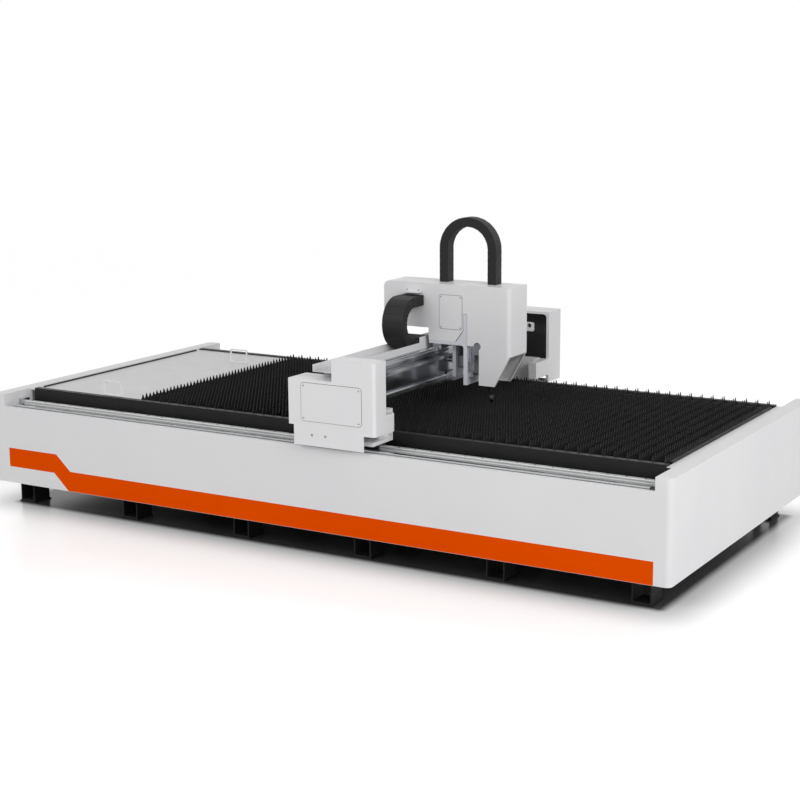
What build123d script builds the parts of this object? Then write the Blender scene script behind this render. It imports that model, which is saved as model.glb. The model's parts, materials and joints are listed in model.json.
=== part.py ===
from build123d import *
import math
import os

# Fiber laser cutting machine with an open bed and a gantry that runs along it.
# X runs along the bed, Y from the operator's side to the back, Z up from the floor.
# The origin lies on the floor, under the middle of the bed.

# Bed envelope
bed_length = 4600
bed_width = 2275
ground_clearance = 155
panel_height = 492
cap_height = 567
cap_thickness = 94
cap_corner = 34
cap_sheet = 4
panel_sheet = 3
panel_flange = 24

# Bed frame, a weldment of square and box tube
deck_height = 478
side_tube_width = 313
side_tube_height = 200
side_tube_wall = 10
lower_tube_setback = 135
lower_tube = 100
lower_tube_drop = 35
post = 100
cross_tube = 100
frame_wall = 6
upper_cross_drop = 90
foot_count = 6
foot_size = 150
foot_start = 150
foot_end_gap = 200
foot_plate = 12

# Cutting table
slat_beam_setback = 253
slat_beam_width = 84
slat_beam_height = 92
slat_lip = 39
shelf_drop = 14
slat_beam_wall = 6
table_start = 125
table_end_gap = 135
slat_first = 975
slat_last_gap = 160
slat_pitch = 70.65
slat_thickness = 4
slat_slot_clearance = 1
slat_tip_rise = 32
slat_teeth = 4
slat_tooth_depth = 30
slat_foot_rise = 10
support_bar_width = 40
support_bar_setback = 870
end_beam_thickness = 24
left_beam_thickness = 12
tray_thickness = 6
tray_length = 818
infill_sheet = 4
handle_width = 143
handle_height = 92
handle_wire = 8
handle_x = 700
handle_front_gap = 350
handle_back_gap = 585
pan_height = 150
pan_gap = 30
pan_wall = 3

# Bed guideways
rail_width = 34
rail_height = 29
rail_setback = 165
rack_width = 24
rack_height = 24
rack_setback = 46
stop_length = 30
guide_inset = 135
stop_width_share = 1.6
stop_height_share = 1.5

# Gantry carriage on the bed rails
gantry_x = 2585
saddle_length = 490
saddle_near = 30
saddle_far = 245
saddle_plate = 22
saddle_rib = 16
saddle_rib_inset = 30
saddle_top_near = 150
gearbox_room = 6
bearing_length = 110
bearing_width = 70
bearing_rise = 48
bearing_underside = 8
bearing_clearance = 0.5
bearing_pitch = 340
pinion_radius = 22
pinion_face = 18
pinion_teeth = 18
pinion_root = 18
pinion_gap = 0.2
pinion_shaft = 9
shaft_clearance = 0.05
drive_x = 2420
gearbox_size = 80
gearbox_height = 84
motor_height = 140
motor_size = 76
corner_cut = 8
encoder_height = 30
encoder_step = 6
flange_height = 12
barrel_step = 2
shaft_reach = 40

# Gantry beam
beam_left = 2440
beam_right = 2700
beam_bottom = 708
beam_top = 920
beam_inset = 150
beam_wall = 9
top_rail_width = 28
top_rail_height = 24
top_rail_edge = 2
side_rail_height = 26
side_rail_width = 26
side_rail_centre = 743
beam_rail_inset = 20
y_rack_height = 22
y_rack_depth = 18
y_rack_bottom = 857
cable_tray_left = 2449
cable_tray_right = 2605
cable_tray_height = 40
cable_tray_sheet = 3
cable_tray_inset = 14
tray_tab_start = 938
tray_tab_length = 120
tray_tab_rise = 33

# Gantry covers
cover_overhang = 44
cover_left = 2322
cover_right = 2890
cover_main_left = 2612
cover_top = 1010
shoulder_top = 884
cover_bottom = 598
cover_left_bottom = 622
cover_low_top = 703
cover_upper_depth = 119
cover_lower_depth = 203
shoulder_depth = 180
skirt_left = 2355
skirt_right = 2817
skirt_bottom = 508
cover_sheet = 3
cover_radius = 20
back_cover_bottom = 548
back_cover_depth = 192
back_cover_rim = 15
back_mouth_corner = 24
back_wing_depth = 377
foot_rim_inset = 20
tab_width = 40
tab_pitch = 200
tab_sheet = 6
tab_overlap = 40

# Cross carriage
head_front = 1003
head_back = 1222
head_left = 2318
head_right = 3178
head_top = 1315
head_left_bottom = 1046
head_bottom = 722
head_slant_top = 908
head_slant_x = 3075
carriage_left = 2632
web_left = 2750
leg_left = 2868
plate_bottom = 953
plate_thickness = 22
web_front = 1085
web_bottom = 745
leg_bottom = 716
leg_top = 1143
plate_front = 1003.5
plate_back = 1214

# Cross drive
y_pinion_radius = 20
y_pinion_root = 16.5
y_pinion_face = 14
y_pinion_teeth = 16
pinion_offset = 2
y_drive_setback = 1150
y_shaft = 8
y_gearbox_length = 86
top_block_width = 56
top_block_rise = 41
top_block_length = 80
block_inset = 6
side_block_width = 50
side_block_rise = 50
side_block_length = 60

# Energy chains
chain_left = 2458
chain_right = 2598
chain_bend_y = 898
chain_bend_z = 1085
chain_outer = 156
chain_inner = 94
chain_tail = 1056
arch_left = 2651
arch_right = 3033
arch_leg = 57
arch_front = 1100
arch_depth = 75
arch_top = 1708

# Cutting head and its vertical slide
nozzle_x = 3028
nozzle_y = 1060
nozzle_tip = 613
z_rail_width = 20
z_rail_height = 18
z_rail_setbacks = [1040, 1180]
z_rail_low = 760
z_rail_high = 1130
z_block_width = 44
z_block_rise = 30
z_block_length = 60
z_block_heights = [830, 990]
z_plate_low = 790
z_plate_high = 1030
z_plate_thickness = 18
screw_radius = 8
screw_setback = 1110
screw_offset = 14
screw_inset = 4
screw_into_motor = 24

head_body_low = 762
head_body_high = 1000
head_bracket_low = 900
head_bracket_high = 990
body_width = 90
body_depth = 70
body_corner = 8
drawer_low = 790
drawer_height = 34
drawer_depth = 50
drawer_width = 52
drawer_front = 6
turned_sides = 16
upright = (0, 0, 0)
upside_down = (180, 0, 0)
collimator_bottom = 1000
nozzle_body_top = 762
nozzle_body_bottom = 664
nozzle_top = 642
# Each stage of a turned piece: how far from the wide end it starts, its length, its radius at either end
collimator_stages = [(0, 138, 33, 33), (138, 12, 33, 24), (150, 55, 16, 16)]
nozzle_body_stages = [(0, 42, 32, 32), (42, 8, 32, 26), (50, nozzle_body_top - nozzle_body_bottom - 50, 26, 18)]
ceramic_stages = [(0, nozzle_body_bottom - nozzle_top, 15, 12)]
nozzle_stages = [(0, 10, 11, 11), (10, nozzle_top - nozzle_tip - 10, 11, 4)]
nozzle_bore = 1.5

left = -bed_length / 2
front = -bed_width / 2
deck = ground_clearance + deck_height
panel_top = ground_clearance + panel_height
foot_pitch = (bed_length - foot_start - foot_end_gap) / (foot_count - 1)
table_end = bed_length - table_end_gap
slat_count = 1 + int((bed_length - slat_first - slat_last_gap) / slat_pitch)
guide_start = guide_inset
guide_end = bed_length - guide_inset
leg_right = leg_left + plate_thickness


def x_at(distance):
    return left + distance


def y_at(setback):
    return front + setback


def z_at(height):
    return ground_clearance + height


def centre(low, high):
    return (low + high) / 2


os.makedirs("parts", exist_ok=True)

# Bed frame: two wide guideway tubes over a ladder of lower tubes, posts and cross tubes
foot_first = x_at(foot_start)
foot_x = [foot_first + n * foot_pitch for n in range(foot_count)]
side_tube_y = y_at(panel_flange + side_tube_width / 2)
side_tube_z = deck - side_tube_height / 2
side_tube_length = bed_length - 2 * cap_thickness
lower_tube_y = y_at(lower_tube_setback + lower_tube / 2)
lower_tube_bottom = z_at(-lower_tube_drop)
lower_tube_top = lower_tube_bottom + lower_tube
post_height = deck - side_tube_height - lower_tube_top
lower_cross_length = -2 * lower_tube_y - lower_tube
upper_cross_length = -2 * side_tube_y - side_tube_width
upper_cross_top = deck - upper_cross_drop
with BuildPart() as main_frame:
    for side in (1, -1):
        with BuildSketch(Plane.YZ.offset(-side_tube_length / 2)) as guideway_section:
            with Locations((side * side_tube_y, side_tube_z)):
                Rectangle(side_tube_width, side_tube_height)
                Rectangle(side_tube_width - 2 * side_tube_wall, side_tube_height - 2 * side_tube_wall,
                          mode=Mode.SUBTRACT)
        extrude(amount=side_tube_length)
        with BuildSketch(Plane.YZ.offset(-side_tube_length / 2)) as lower_section:
            with Locations((side * lower_tube_y, lower_tube_bottom + lower_tube / 2)):
                Rectangle(lower_tube, lower_tube)
                Rectangle(lower_tube - 2 * frame_wall, lower_tube - 2 * frame_wall, mode=Mode.SUBTRACT)
        extrude(amount=side_tube_length)
post_tubes = []
cross_tubes = []
for x in foot_x:
    for side in (1, -1):
        with BuildPart() as post_tube:
            with BuildSketch(Plane.XY.offset(lower_tube_top)) as post_section:
                with Locations((x, side * lower_tube_y)):
                    Rectangle(post, post)
                    Rectangle(post - 2 * frame_wall, post - 2 * frame_wall, mode=Mode.SUBTRACT)
            extrude(amount=post_height)
        post_tubes.append(post_tube.part)
    for length, bottom in ((lower_cross_length, lower_tube_bottom),
                           (upper_cross_length, upper_cross_top - cross_tube)):
        with BuildPart() as cross_member:
            with BuildSketch(Plane.XZ.offset(-length / 2)) as cross_section:
                with Locations((x, bottom + cross_tube / 2)):
                    Rectangle(cross_tube, cross_tube)
                    Rectangle(cross_tube - 2 * frame_wall, cross_tube - 2 * frame_wall,
                              mode=Mode.SUBTRACT)
            extrude(amount=length)
        cross_tubes.append(cross_member.part)
frame_tubes = Compound(children=[*main_frame.part.solids(), *post_tubes, *cross_tubes])
frame_tubes.label = "main_frame"
export_step(frame_tubes, "parts/main_frame.step")

# Feet: welded H brackets between the lower tubes and the floor
foot_height = lower_tube_bottom
with BuildPart() as foot:
    with BuildSketch(Plane.XZ.offset(-foot_size / 2)) as foot_section:
        with Locations((0, foot_plate / 2), (0, foot_height - foot_plate / 2)):
            Rectangle(foot_size, foot_plate)
        with Locations((0, foot_height / 2)):
            Rectangle(foot_plate, foot_height)
    extrude(amount=foot_size)
foot_places = [(x, side * lower_tube_y, 0) for x in foot_x for side in (1, -1)]
support_feet = Compound(children=[foot.part.solid().moved(Location(place)) for place in foot_places])
support_feet.label = "support_feet"
export_step(support_feet, "parts/support_feet.step")

# Long side panels: one folded sheet each, with a flange at the top and the bottom
panel_length = bed_length - 2 * cap_thickness
with BuildPart() as front_panel:
    with BuildSketch(Plane.YZ.offset(-panel_length / 2)) as panel_section:
        with BuildLine() as panel_outline:
            Polyline(
                (front, ground_clearance),
                (front + panel_flange, ground_clearance),
                (front + panel_flange, ground_clearance + panel_sheet),
                (front + panel_sheet, ground_clearance + panel_sheet),
                (front + panel_sheet, panel_top - panel_sheet),
                (front + panel_flange - panel_sheet, panel_top - panel_sheet),
                (front + panel_flange - panel_sheet, deck - panel_flange),
                (front + panel_flange, deck - panel_flange),
                (front + panel_flange, panel_top),
                (front, panel_top),
                close=True,
            )
        make_face()
    extrude(amount=panel_length)
front_panel.part.label = "front_panel"
export_step(front_panel.part, "parts/front_panel.step")

with BuildPart() as back_panel:
    add(front_panel.part.mirror(Plane.XZ))
back_panel.part.label = "back_panel"
export_step(back_panel.part, "parts/back_panel.step")

# End caps: deep folded covers, open underneath, with rounded outer corners
with BuildPart() as left_end_cap:
    with BuildSketch(Plane.XY.offset(ground_clearance)) as cap_outline:
        with Locations((x_at(cap_thickness / 2), 0)):
            Rectangle(cap_thickness, bed_width)
        fillet(cap_outline.vertices().group_by(Axis.X)[0], cap_corner)
    extrude(amount=cap_height)
    with BuildSketch(Plane.XY.offset(ground_clearance)) as cap_hollow:
        with Locations((x_at(cap_thickness / 2), 0)):
            Rectangle(cap_thickness - 2 * cap_sheet, bed_width - 2 * cap_sheet)
        fillet(cap_hollow.vertices().group_by(Axis.X)[0], cap_corner - cap_sheet)
    extrude(amount=cap_height - cap_sheet, mode=Mode.SUBTRACT)
left_end_cap.part.label = "left_end_cap"
export_step(left_end_cap.part, "parts/left_end_cap.step")

with BuildPart() as right_end_cap:
    add(left_end_cap.part.mirror(Plane.YZ))
right_end_cap.part.label = "right_end_cap"
export_step(right_end_cap.part, "parts/right_end_cap.step")

# Slat beams: folded plates, open towards the table, with a raised lip and a comb of slots in the shelf
beam_near = y_at(slat_beam_setback)
beam_far = beam_near + slat_beam_width
table_length = table_end - table_start
lip_top = deck + slat_beam_height
shelf_top = lip_top - shelf_drop
slat_bottom = deck + slat_foot_rise
slot_width = slat_thickness + 2 * slat_slot_clearance
slat_x = [x_at(slat_first + n * slat_pitch) for n in range(slat_count)]
slot_middle = centre(slat_x[0], slat_x[-1])
slat_near = beam_near + slat_lip + slat_slot_clearance
with BuildPart() as front_slat_beam:
    with BuildSketch(Plane.YZ.offset(x_at(table_start))) as slat_beam_section:
        with BuildLine() as slat_beam_outline:
            Polyline(
                (beam_near, deck),
                (beam_far, deck),
                (beam_far, deck + slat_beam_wall),
                (beam_near + slat_beam_wall, deck + slat_beam_wall),
                (beam_near + slat_beam_wall, lip_top - slat_beam_wall),
                (beam_near + slat_lip - slat_beam_wall, lip_top - slat_beam_wall),
                (beam_near + slat_lip - slat_beam_wall, shelf_top - slat_beam_wall),
                (beam_far, shelf_top - slat_beam_wall),
                (beam_far, shelf_top),
                (beam_near + slat_lip, shelf_top),
                (beam_near + slat_lip, lip_top),
                (beam_near, lip_top),
                close=True,
            )
        make_face()
    extrude(amount=table_length)
    with BuildSketch(Plane.XY.offset(slat_bottom)) as slot_row:
        with Locations((slot_middle, centre(beam_near + slat_lip, beam_far))):
            with GridLocations(slat_pitch, 1, slat_count, 1):
                Rectangle(slot_width, slat_beam_width - slat_lip)
    extrude(amount=slat_beam_height, mode=Mode.SUBTRACT)
front_slat_beam.part.label = "front_slat_beam"
export_step(front_slat_beam.part, "parts/front_slat_beam.step")

with BuildPart() as back_slat_beam:
    add(front_slat_beam.part.mirror(Plane.XZ))
back_slat_beam.part.label = "back_slat_beam"
export_step(back_slat_beam.part, "parts/back_slat_beam.step")

# Flat bars that close the table between the slat beams
inner_width = -2 * beam_far
end_beam_height = slat_beam_height - slat_foot_rise
with BuildPart() as bed_end_beams:
    with Locations((x_at(table_start + left_beam_thickness / 2), 0, slat_bottom + end_beam_height / 2)):
        Box(left_beam_thickness, inner_width, end_beam_height)
    with Locations((x_at(table_end - end_beam_thickness / 2), 0, slat_bottom + end_beam_height / 2)):
        Box(end_beam_thickness, inner_width, end_beam_height)
bed_end_beams.part.label = "bed_end_beams"
export_step(bed_end_beams.part, "parts/bed_end_beams.step")

# Slats: upright strips with a saw-tooth edge that the sheet metal lies on
slat_length = -2 * slat_near
tooth_root = lip_top + slat_tip_rise - slat_tooth_depth
tooth_pitch = inner_width / slat_teeth
tooth_points = []
for n in range(slat_teeth):
    tooth_start = beam_far + n * tooth_pitch
    tooth_points.append((tooth_start, tooth_root))
    tooth_points.append((tooth_start + tooth_pitch / 2, tooth_root + slat_tooth_depth))
with BuildPart() as slat:
    with BuildSketch(Plane.YZ.offset(-slat_thickness / 2)) as slat_outline_sketch:
        with BuildLine() as slat_outline:
            Polyline(
                (-slat_near, slat_bottom),
                (slat_near, slat_bottom),
                (slat_near, tooth_root),
                *tooth_points,
                (-beam_far, tooth_root),
                (-slat_near, tooth_root),
                close=True,
            )
        make_face()
    extrude(amount=slat_thickness)
slats = Compound(children=[slat.part.solid().moved(Location((x, 0, 0))) for x in slat_x])
slats.label = "slats"
export_step(slats, "parts/slats.step")

# Two long bars carry the slats between the beams
support_bar_y = y_at(support_bar_setback)
support_bar_height = slat_bottom - upper_cross_top
with BuildPart() as slat_support_bars:
    with Locations((centre(x_at(cap_thickness), x_at(table_end)), 0, upper_cross_top + support_bar_height / 2)):
        with GridLocations(1, -2 * support_bar_y, 1, 2):
            Box(table_end - cap_thickness, support_bar_width, support_bar_height)
slat_support_bars.part.label = "slat_support_bars"
export_step(slat_support_bars.part, "parts/slat_support_bars.step")

# Slag pans: open folded pans on the lower cross tubes, one in each bay
pan_length = foot_pitch - pan_gap
pan_width = -2 * beam_far - pan_gap
pan_places = [Location((x + foot_pitch / 2, 0, lower_tube_top)) for x in foot_x[:-1]]
with BuildPart() as pan:
    Box(pan_length, pan_width, pan_height, align=(Align.CENTER, Align.CENTER, Align.MIN))
    offset(amount=-pan_wall, openings=pan.faces().sort_by(Axis.Z)[-1])
slag_pans = Compound(children=[pan.part.solid().moved(place) for place in pan_places])
slag_pans.label = "slag_pans"
export_step(slag_pans, "parts/slag_pans.step")

# Cover plate at the left end of the table, on the shelves of the slat beams
plate_start = x_at(table_start + left_beam_thickness)
plate_top = shelf_top + tray_thickness
with BuildPart() as table_plate:
    with Locations((plate_start + tray_length / 2, 0, shelf_top + tray_thickness / 2)):
        Box(tray_length, slat_length, tray_thickness)
table_plate.part.label = "table_plate"
export_step(table_plate.part, "parts/table_plate.step")

# Lifting rings of bent wire, standing on the cover plate
with BuildPart() as ring:
    with BuildLine(Plane.XZ) as ring_path:
        Polyline(
            (0, handle_wire / 2),
            (handle_width / 2 - handle_wire / 2, handle_wire / 2),
            (handle_width / 2 - handle_wire / 2, handle_height - handle_wire / 2),
            (handle_wire / 2 - handle_width / 2, handle_height - handle_wire / 2),
            (handle_wire / 2 - handle_width / 2, handle_wire / 2),
            close=True,
        )
    with BuildSketch(Plane.YZ) as wire_section:
        with Locations((0, handle_wire / 2)):
            Rectangle(handle_wire, handle_wire)
    sweep(transition=Transition.RIGHT)
ring_places = [Location((x_at(handle_x), y, plate_top)) for y in (y_at(handle_front_gap), -y_at(handle_back_gap))]
plate_handles = Compound(children=[ring.part.solid().moved(place) for place in ring_places])
plate_handles.label = "plate_handles"
export_step(plate_handles, "parts/plate_handles.step")

# Light sheets that bridge the gap from the table to the end caps
infill_width = -2 * beam_near
with BuildPart() as infill_strips:
    for start, end in ((cap_thickness, table_start), (table_end, bed_length - cap_thickness)):
        with Locations((centre(x_at(start), x_at(end)), 0, shelf_top + infill_sheet / 2)):
            Box(end - start, infill_width, infill_sheet)
infill_strips.part.label = "infill_strips"
export_step(infill_strips.part, "parts/infill_strips.step")

# Bed guideways: profiled rails, helical rack bars and the stops at their ends
guide_length = guide_end - guide_start
guide_x = centre(x_at(guide_start), x_at(guide_end))
rail_y = y_at(rail_setback)
rack_y = y_at(rack_setback)


def rail_outline(width, height):
    """Half round the waist of a profiled rail: wide foot, waist, wide head with bevelled corners."""
    foot = width / 2
    waist = width * 0.36
    bevel = width * 0.09
    return [
        (-foot, 0),
        (foot, 0),
        (foot, height * 0.35),
        (waist, height * 0.5),
        (waist, height * 0.62),
        (foot, height * 0.75),
        (foot, height - bevel),
        (foot - bevel, height),
        (bevel - foot, height),
        (-foot, height - bevel),
        (-foot, height * 0.75),
        (-waist, height * 0.62),
        (-waist, height * 0.5),
        (-foot, height * 0.35),
    ]


with BuildPart() as front_x_rail:
    with BuildSketch(Plane.YZ.offset(x_at(guide_start))) as rail_section:
        with BuildLine() as rail_line:
            Polyline(*[(rail_y + y, deck + z) for y, z in rail_outline(rail_width, rail_height)], close=True)
        make_face()
    extrude(amount=guide_length)
with BuildPart() as x_rails:
    add(front_x_rail.part)
    add(front_x_rail.part.mirror(Plane.XZ))
x_rails.part.label = "x_rails"
export_step(x_rails.part, "parts/x_rails.step")

with BuildPart() as x_racks:
    with Locations((guide_x, 0, deck + rack_height / 2)):
        with GridLocations(1, -2 * rack_y, 1, 2):
            Box(guide_length, rack_width, rack_height)
x_racks.part.label = "x_racks"
export_step(x_racks.part, "parts/x_racks.step")

with BuildPart() as rail_end_stops:
    for x in (x_at(guide_start) - stop_length / 2, x_at(guide_end) + stop_length / 2):
        with Locations((x, 0, deck)):
            with GridLocations(1, -2 * rail_y, 1, 2):
                Box(stop_length, stop_width_share * rail_width, stop_height_share * rail_height,
                    align=(Align.CENTER, Align.CENTER, Align.MIN))
rail_end_stops.part.label = "rail_end_stops"
export_step(rail_end_stops.part, "parts/rail_end_stops.step")

# Bearing blocks of the gantry: each straddles its rail with a running clearance
saddle_x = x_at(gantry_x)
block_top = deck + bearing_rise
block_bottom = deck + bearing_underside


def block_outline(width, low, high, rail_wide, rail_high):
    """Inverted channel: the rail runs through the slot that opens downwards."""
    slot = rail_wide / 2 + bearing_clearance
    roof = rail_high + bearing_clearance
    return [
        (-width / 2, low),
        (-slot, low),
        (-slot, roof),
        (slot, roof),
        (slot, low),
        (width / 2, low),
        (width / 2, high),
        (-width / 2, high),
    ]


with BuildPart() as bearing_block:
    with BuildSketch(Plane.YZ.offset(-bearing_length / 2)) as block_section:
        with BuildLine() as block_line:
            Polyline(*block_outline(bearing_width, block_bottom - deck, bearing_rise, rail_width, rail_height),
                     close=True)
        make_face()
    extrude(amount=bearing_length)
block_places = [Location((saddle_x + dx, side * rail_y, deck)) for side in (1, -1)
                for dx in (-bearing_pitch / 2, bearing_pitch / 2)]
x_bearing_blocks = Compound(children=[bearing_block.part.solid().moved(place) for place in block_places])
x_bearing_blocks.label = "x_bearing_blocks"
export_step(x_bearing_blocks, "parts/x_bearing_blocks.step")

# Saddles: welded brackets that carry the beam ends on the bearing blocks
drive_y = y_at(rack_setback + rack_width / 2 + pinion_radius + pinion_gap)
saddle_bottom = block_top
saddle_top = z_at(beam_bottom)
near_y = y_at(saddle_near)
far_y = y_at(saddle_far)
top_near_y = y_at(saddle_top_near)
rib_reach = saddle_length / 2 - saddle_rib_inset
rib_x = [saddle_x + dx for dx in (-rib_reach, 0, rib_reach)]
with BuildPart() as front_saddle:
    with Locations((saddle_x, centre(near_y, far_y), saddle_bottom + saddle_plate / 2)):
        Box(saddle_length, far_y - near_y, saddle_plate)
    with Locations((saddle_x, centre(top_near_y, far_y), saddle_top - saddle_plate / 2)):
        Box(saddle_length, far_y - top_near_y, saddle_plate)
    for x in rib_x:
        with BuildSketch(Plane.YZ.offset(x - saddle_rib / 2)) as rib_profile:
            with BuildLine() as rib_outline:
                Polyline(
                    (drive_y + gearbox_size / 2 + gearbox_room, saddle_bottom + saddle_plate),
                    (far_y - saddle_rib, saddle_bottom + saddle_plate),
                    (far_y - saddle_rib, saddle_top - saddle_plate),
                    (top_near_y + saddle_rib / 2, saddle_top - saddle_plate),
                    close=True,
                )
            make_face()
        extrude(amount=saddle_rib)
    with Locations((saddle_x, far_y - saddle_rib / 2, centre(saddle_bottom, saddle_top))):
        Box(saddle_length, saddle_rib, saddle_top - saddle_bottom - 2 * saddle_plate)
    with Locations((x_at(drive_x), drive_y, saddle_bottom + saddle_plate)):
        Hole(pinion_shaft + gearbox_room, depth=saddle_plate)
front_saddle.part.label = "front_saddle"
export_step(front_saddle.part, "parts/front_saddle.step")

with BuildPart() as back_saddle:
    add(front_saddle.part.mirror(Plane.XZ))
back_saddle.part.label = "back_saddle"
export_step(back_saddle.part, "parts/back_saddle.step")

# Drive pinions with their shafts, one beside each rack
pinion_bottom = deck + 4
gearbox_bottom = saddle_bottom + saddle_plate
shaft_top = gearbox_bottom + shaft_reach


def gear_outline(teeth, tip_radius, root_radius):
    """Points of a straight-sided gear, four to a tooth."""
    points = []
    for tooth in range(teeth):
        for share, radius in ((0.05, root_radius), (0.25, tip_radius), (0.5, tip_radius), (0.7, root_radius)):
            angle = 360 * (tooth + share) / teeth
            points.append(Vector(radius, 0).rotate(Axis.Z, angle))
    return [(point.X, point.Y) for point in points]


with BuildPart() as pinion:
    with BuildSketch(Plane.XY.offset(pinion_bottom)) as pinion_profile:
        with BuildLine() as pinion_line:
            Polyline(*gear_outline(pinion_teeth, pinion_radius, pinion_root), close=True)
        make_face()
    extrude(amount=pinion_face)
    with BuildSketch(Plane.XY.offset(pinion_bottom)) as shaft_profile:
        Circle(pinion_shaft)
    extrude(amount=shaft_top - pinion_bottom)
x_pinion_front = pinion.part.moved(Location((x_at(drive_x), drive_y, 0)))
x_pinion_front.label = "x_pinion_front"
export_step(x_pinion_front, "parts/x_pinion_front.step")
x_pinion_back = x_pinion_front.mirror(Plane.XZ)
x_pinion_back.label = "x_pinion_back"
export_step(x_pinion_back, "parts/x_pinion_back.step")

# Planetary gearboxes on the saddles, bored for the pinion shafts, and the servo motors on top
with BuildPart() as gearbox:
    with BuildSketch(Plane.XY.offset(gearbox_bottom)) as gearbox_flange:
        Rectangle(gearbox_size, gearbox_size)
        chamfer(gearbox_flange.vertices(), corner_cut)
    extrude(amount=flange_height)
    with BuildSketch(Plane.XY.offset(gearbox_bottom + flange_height)) as gearbox_barrel:
        RegularPolygon(gearbox_size / 2 - barrel_step, turned_sides)
    extrude(amount=gearbox_height - flange_height)
    with Locations((0, 0, gearbox_bottom)):
        Cylinder(pinion_shaft + shaft_clearance, shaft_top - gearbox_bottom + 1,
                 align=(Align.CENTER, Align.CENTER, Align.MIN), mode=Mode.SUBTRACT)
drive_places = [Location((x_at(drive_x), side * drive_y, 0)) for side in (1, -1)]
x_gearboxes = Compound(children=[gearbox.part.solid().moved(place) for place in drive_places])
x_gearboxes.label = "x_gearboxes"
export_step(x_gearboxes, "parts/x_gearboxes.step")

motor_bottom = gearbox_bottom + gearbox_height
with BuildPart() as servo_motor:
    with BuildSketch(Plane.XY.offset(motor_bottom)) as motor_body:
        Rectangle(motor_size, motor_size)
        chamfer(motor_body.vertices(), corner_cut)
    extrude(amount=motor_height - encoder_height)
    with BuildSketch(Plane.XY.offset(motor_bottom + motor_height - encoder_height)) as encoder_cap:
        Rectangle(motor_size - 2 * encoder_step, motor_size - 2 * encoder_step)
        chamfer(encoder_cap.vertices(), corner_cut)
    extrude(amount=encoder_height)
x_servo_motors = Compound(children=[servo_motor.part.solid().moved(place) for place in drive_places])
x_servo_motors.label = "x_servo_motors"
export_step(x_servo_motors, "parts/x_servo_motors.step")

# Gantry beam: hollow aluminium extrusion with a T-slot, a rail step and an inner web
beam_start = y_at(beam_inset)
beam_length = -2 * beam_start
beam_mid = x_at(centre(beam_left, beam_right))
beam_step = 8
beam_step_width = 50
slot_depth = 12
slot_mouth = 10
slot_z = z_at(890)
with BuildPart() as gantry_beam:
    with BuildSketch(Plane.XZ.offset(-beam_start)) as beam_section:
        with BuildLine() as beam_outline:
            Polyline(
                (x_at(beam_left), z_at(beam_bottom)),
                (x_at(beam_right), z_at(beam_bottom)),
                (x_at(beam_right), slot_z - slot_mouth / 2),
                (x_at(beam_right) - slot_depth, slot_z - slot_mouth / 2),
                (x_at(beam_right) - slot_depth, slot_z + slot_mouth / 2),
                (x_at(beam_right), slot_z + slot_mouth / 2),
                (x_at(beam_right), z_at(beam_top) - beam_step),
                (x_at(beam_right) - beam_step_width, z_at(beam_top) - beam_step),
                (x_at(beam_right) - beam_step_width, z_at(beam_top)),
                (x_at(beam_left), z_at(beam_top)),
                close=True,
            )
        make_face()
        with BuildLine() as left_chamber:
            Polyline(
                (x_at(beam_left) + beam_wall, z_at(beam_bottom) + beam_wall),
                (beam_mid - beam_wall / 2, z_at(beam_bottom) + beam_wall),
                (beam_mid - beam_wall / 2, z_at(beam_top) - beam_wall),
                (x_at(beam_left) + beam_wall, z_at(beam_top) - beam_wall),
                close=True,
            )
        make_face(mode=Mode.SUBTRACT)
        with BuildLine() as right_chamber:
            Polyline(
                (beam_mid + beam_wall / 2, z_at(beam_bottom) + beam_wall),
                (x_at(beam_right) - beam_wall, z_at(beam_bottom) + beam_wall),
                (x_at(beam_right) - beam_wall, slot_z - slot_mouth / 2 - beam_wall),
                (x_at(beam_right) - slot_depth - beam_wall, slot_z - slot_mouth / 2 - beam_wall),
                (x_at(beam_right) - slot_depth - beam_wall, z_at(beam_top) - beam_step - beam_wall),
                (beam_mid + beam_wall / 2, z_at(beam_top) - beam_step - beam_wall),
                close=True,
            )
        make_face(mode=Mode.SUBTRACT)
    extrude(amount=-beam_length)
gantry_beam.part.label = "gantry_beam"
export_step(gantry_beam.part, "parts/gantry_beam.step")

# Cross guideways: one rail in the step on top of the beam, one low on its right face
rail_start = beam_start + beam_rail_inset
cross_rail_length = -2 * rail_start
top_rail_x = x_at(beam_right - top_rail_edge - top_rail_width / 2)
top_rail_foot = z_at(beam_top) - beam_step
side_rail_z = z_at(side_rail_centre)
side_rail_foot = x_at(beam_right)
with BuildPart() as y_rails:
    with BuildSketch(Plane.XZ.offset(-rail_start)) as cross_rail_section:
        with BuildLine() as top_rail_line:
            Polyline(
                *[(top_rail_x + x, top_rail_foot + z) for x, z in rail_outline(top_rail_width, top_rail_height)],
                close=True,
            )
        make_face()
        with BuildLine() as side_rail_line:
            Polyline(
                *[(side_rail_foot + z, side_rail_z - x) for x, z in rail_outline(side_rail_height, side_rail_width)],
                close=True,
            )
        make_face()
    extrude(amount=-cross_rail_length)
y_rails.part.label = "y_rails"
export_step(y_rails.part, "parts/y_rails.step")

with BuildPart() as y_rack:
    with Locations((x_at(beam_right + y_rack_depth / 2), 0, z_at(y_rack_bottom) + y_rack_height / 2)):
        Box(y_rack_depth, cross_rail_length, y_rack_height)
y_rack.part.label = "y_rack"
export_step(y_rack.part, "parts/y_rack.step")

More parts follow.
